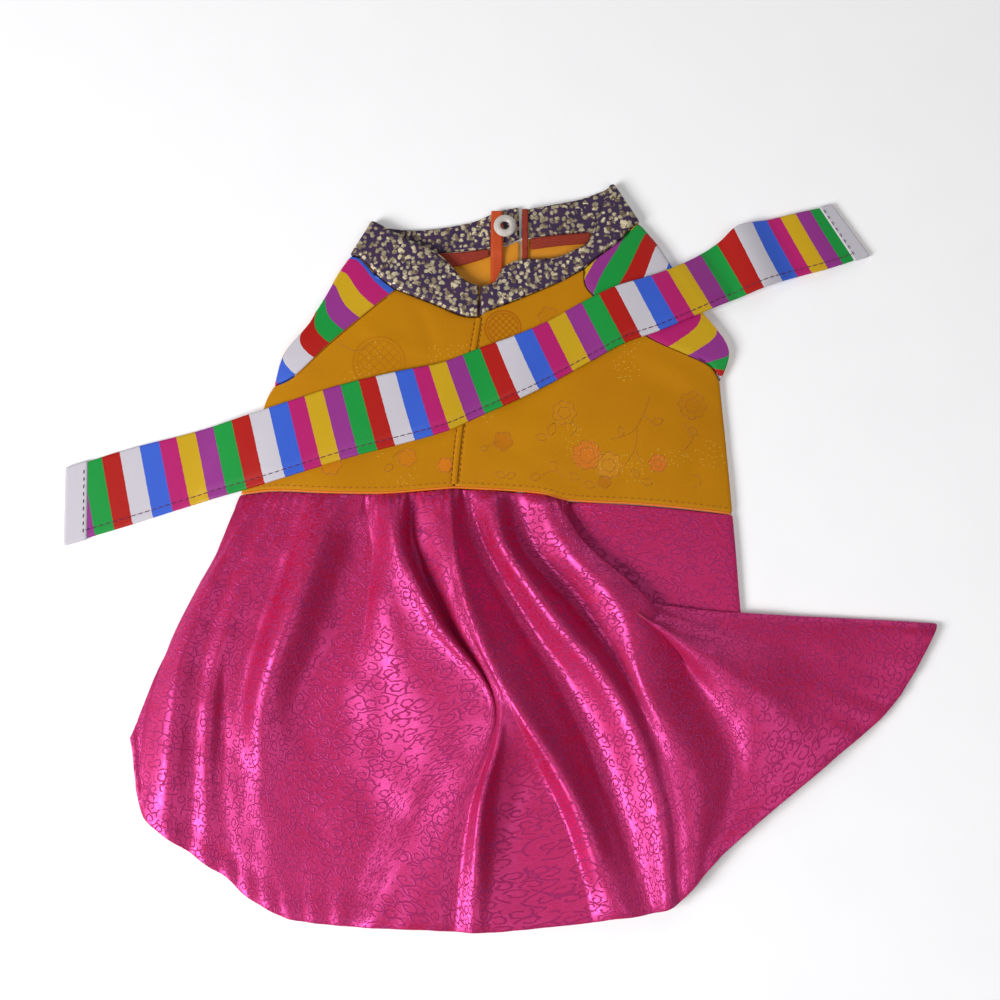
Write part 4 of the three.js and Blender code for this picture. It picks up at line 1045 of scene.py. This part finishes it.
def flat_panel(rows):
    """Cloth coordinates, in metres, of a flared panel laid out as a part of a ring."""
    u, v = on_cloth(rows)[..., 0], on_cloth(rows)[..., 1]
    length = v[-1].mean()
    inner = length * u[0, -1] / (u[-1, -1] - u[0, -1])
    radius = inner + v
    angle = np.cumsum(np.pad(np.diff(u, axis=1), ((0, 0), (1, 0))) / radius, axis=1).mean(0)
    return np.stack([radius * np.sin(angle), -radius * np.cos(angle)], -1)


rows = skirt_rows()
skirt_front = dressed("skirt_front", rows, SKIRT_CLOTH, "pink", "pink lining",
                      flat_panel(rows))

row = HEM_LINE * (len(rows) - 1)
level = int(row)
hem_path = rows[level] + (rows[level + 1] - rows[level]) * (row - level)
normal = unit(np.cross(np.gradient(rows, axis=1), np.gradient(rows, axis=0)))[level]
hem_path = (hem_path + normal * (SKIRT_CLOTH / 2 + 0.08))[:int(HEM_END * CELLS_ACROSS)]
hem_stitches = tubes("hem_stitches", stitches(hem_path, 1.9, 1.6), 0.17, "pink thread")


def skirt_back_rows():
    left = curve([(-111, 21.2), (-122, -10), (-137, -42), (-152.5, -82), (-145.5, -113)])
    right = curve([(101, 12.6), (103.2, -24), (105.4, -54), (107.5, -115)])
    hem = curve([(-145.5, -113), (-117, -134), (-90, -152), (-40, -157), (10, -157), (60, -151.5),
                 (84, -134), (107.5, -115)])
    rows = patch(left, right, chain(WAIST_BACK_LEFT, WAIST_BACK_RIGHT), hem, 60, 48)
    rows = rows - (0, SEAM_GAP)
    return raised(rows, np.full(rows.shape[:2], SKIRT_CLOTH / 2))


skirt_back = dressed("skirt_back", skirt_back_rows(), SKIRT_CLOTH, "pink lining", "pink")

# ---- snap ----
for node in ("snap_socket", "snap_stud"):
    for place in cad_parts[node].material_slots:
        place.material = FINISH["snap"]

bpy.ops.mesh.primitive_plane_add(size=4.0, location=(0, 0, -0.0004))
table = bpy.context.object
table.name = "table_top"
bpy.ops.object.transform_apply(location=True)
table.data.materials.append(FINISH["table"])

cut = {
    front_left: ((0.103, 0.090, 0.0068), "laid", ["back_left"]),
    front_right: ((0.122, 0.110, 0.0096), "laid", ["back_right"]),
    back_left: ((0.122, 0.115, 0.0108), "laid", []),
    back_right: ((0.094, 0.126, 0.0092), "laid", []),
    sleeve_left: ((0.062, 0.062, 0.0023), "folded", ["front_left", "back_left"]),
    sleeve_right: ((0.076, 0.070, 0.0037), "folded", ["front_right", "back_right"]),
    collar_left: ((0.124, 0.026, 0.0031), "folded", ["back_left"]),
    collar_right: ((0.112, 0.028, 0.0029), "folded", ["back_right"]),
    neck_tape_left: ((0.023, 0.0101, 0.00022), "laid", ["back_left"]),
    neck_tape_right: ((0.027, 0.0101, 0.00026), "laid", ["back_right"]),
    placket_tab: ((0.037, 0.0101, 0.00036), "laid", ["back_left"]),
    back_edge_binding: ((0.025, 0.0101, 0.00018), "laid", ["back_right"]),
    sash: ((0.365, 0.032, 0.0115), "laid", ["front_left", "front_right"]),
    skirt_front: ((0.480, 0.190, 0.0700), "gathered", ["skirt_back"]),
    skirt_back: ((0.250, 0.175, 0.0415), "laid", []),
}
trim = {front_right: [centre_tuck, tuck_stitches, waist_edge, waist_stitches, front_sprays],
        sash: on_sash, skirt_front: [hem_stitches]}
for piece, ((width, length, area), held, under) in cut.items():
    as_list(trim.get(piece, []))
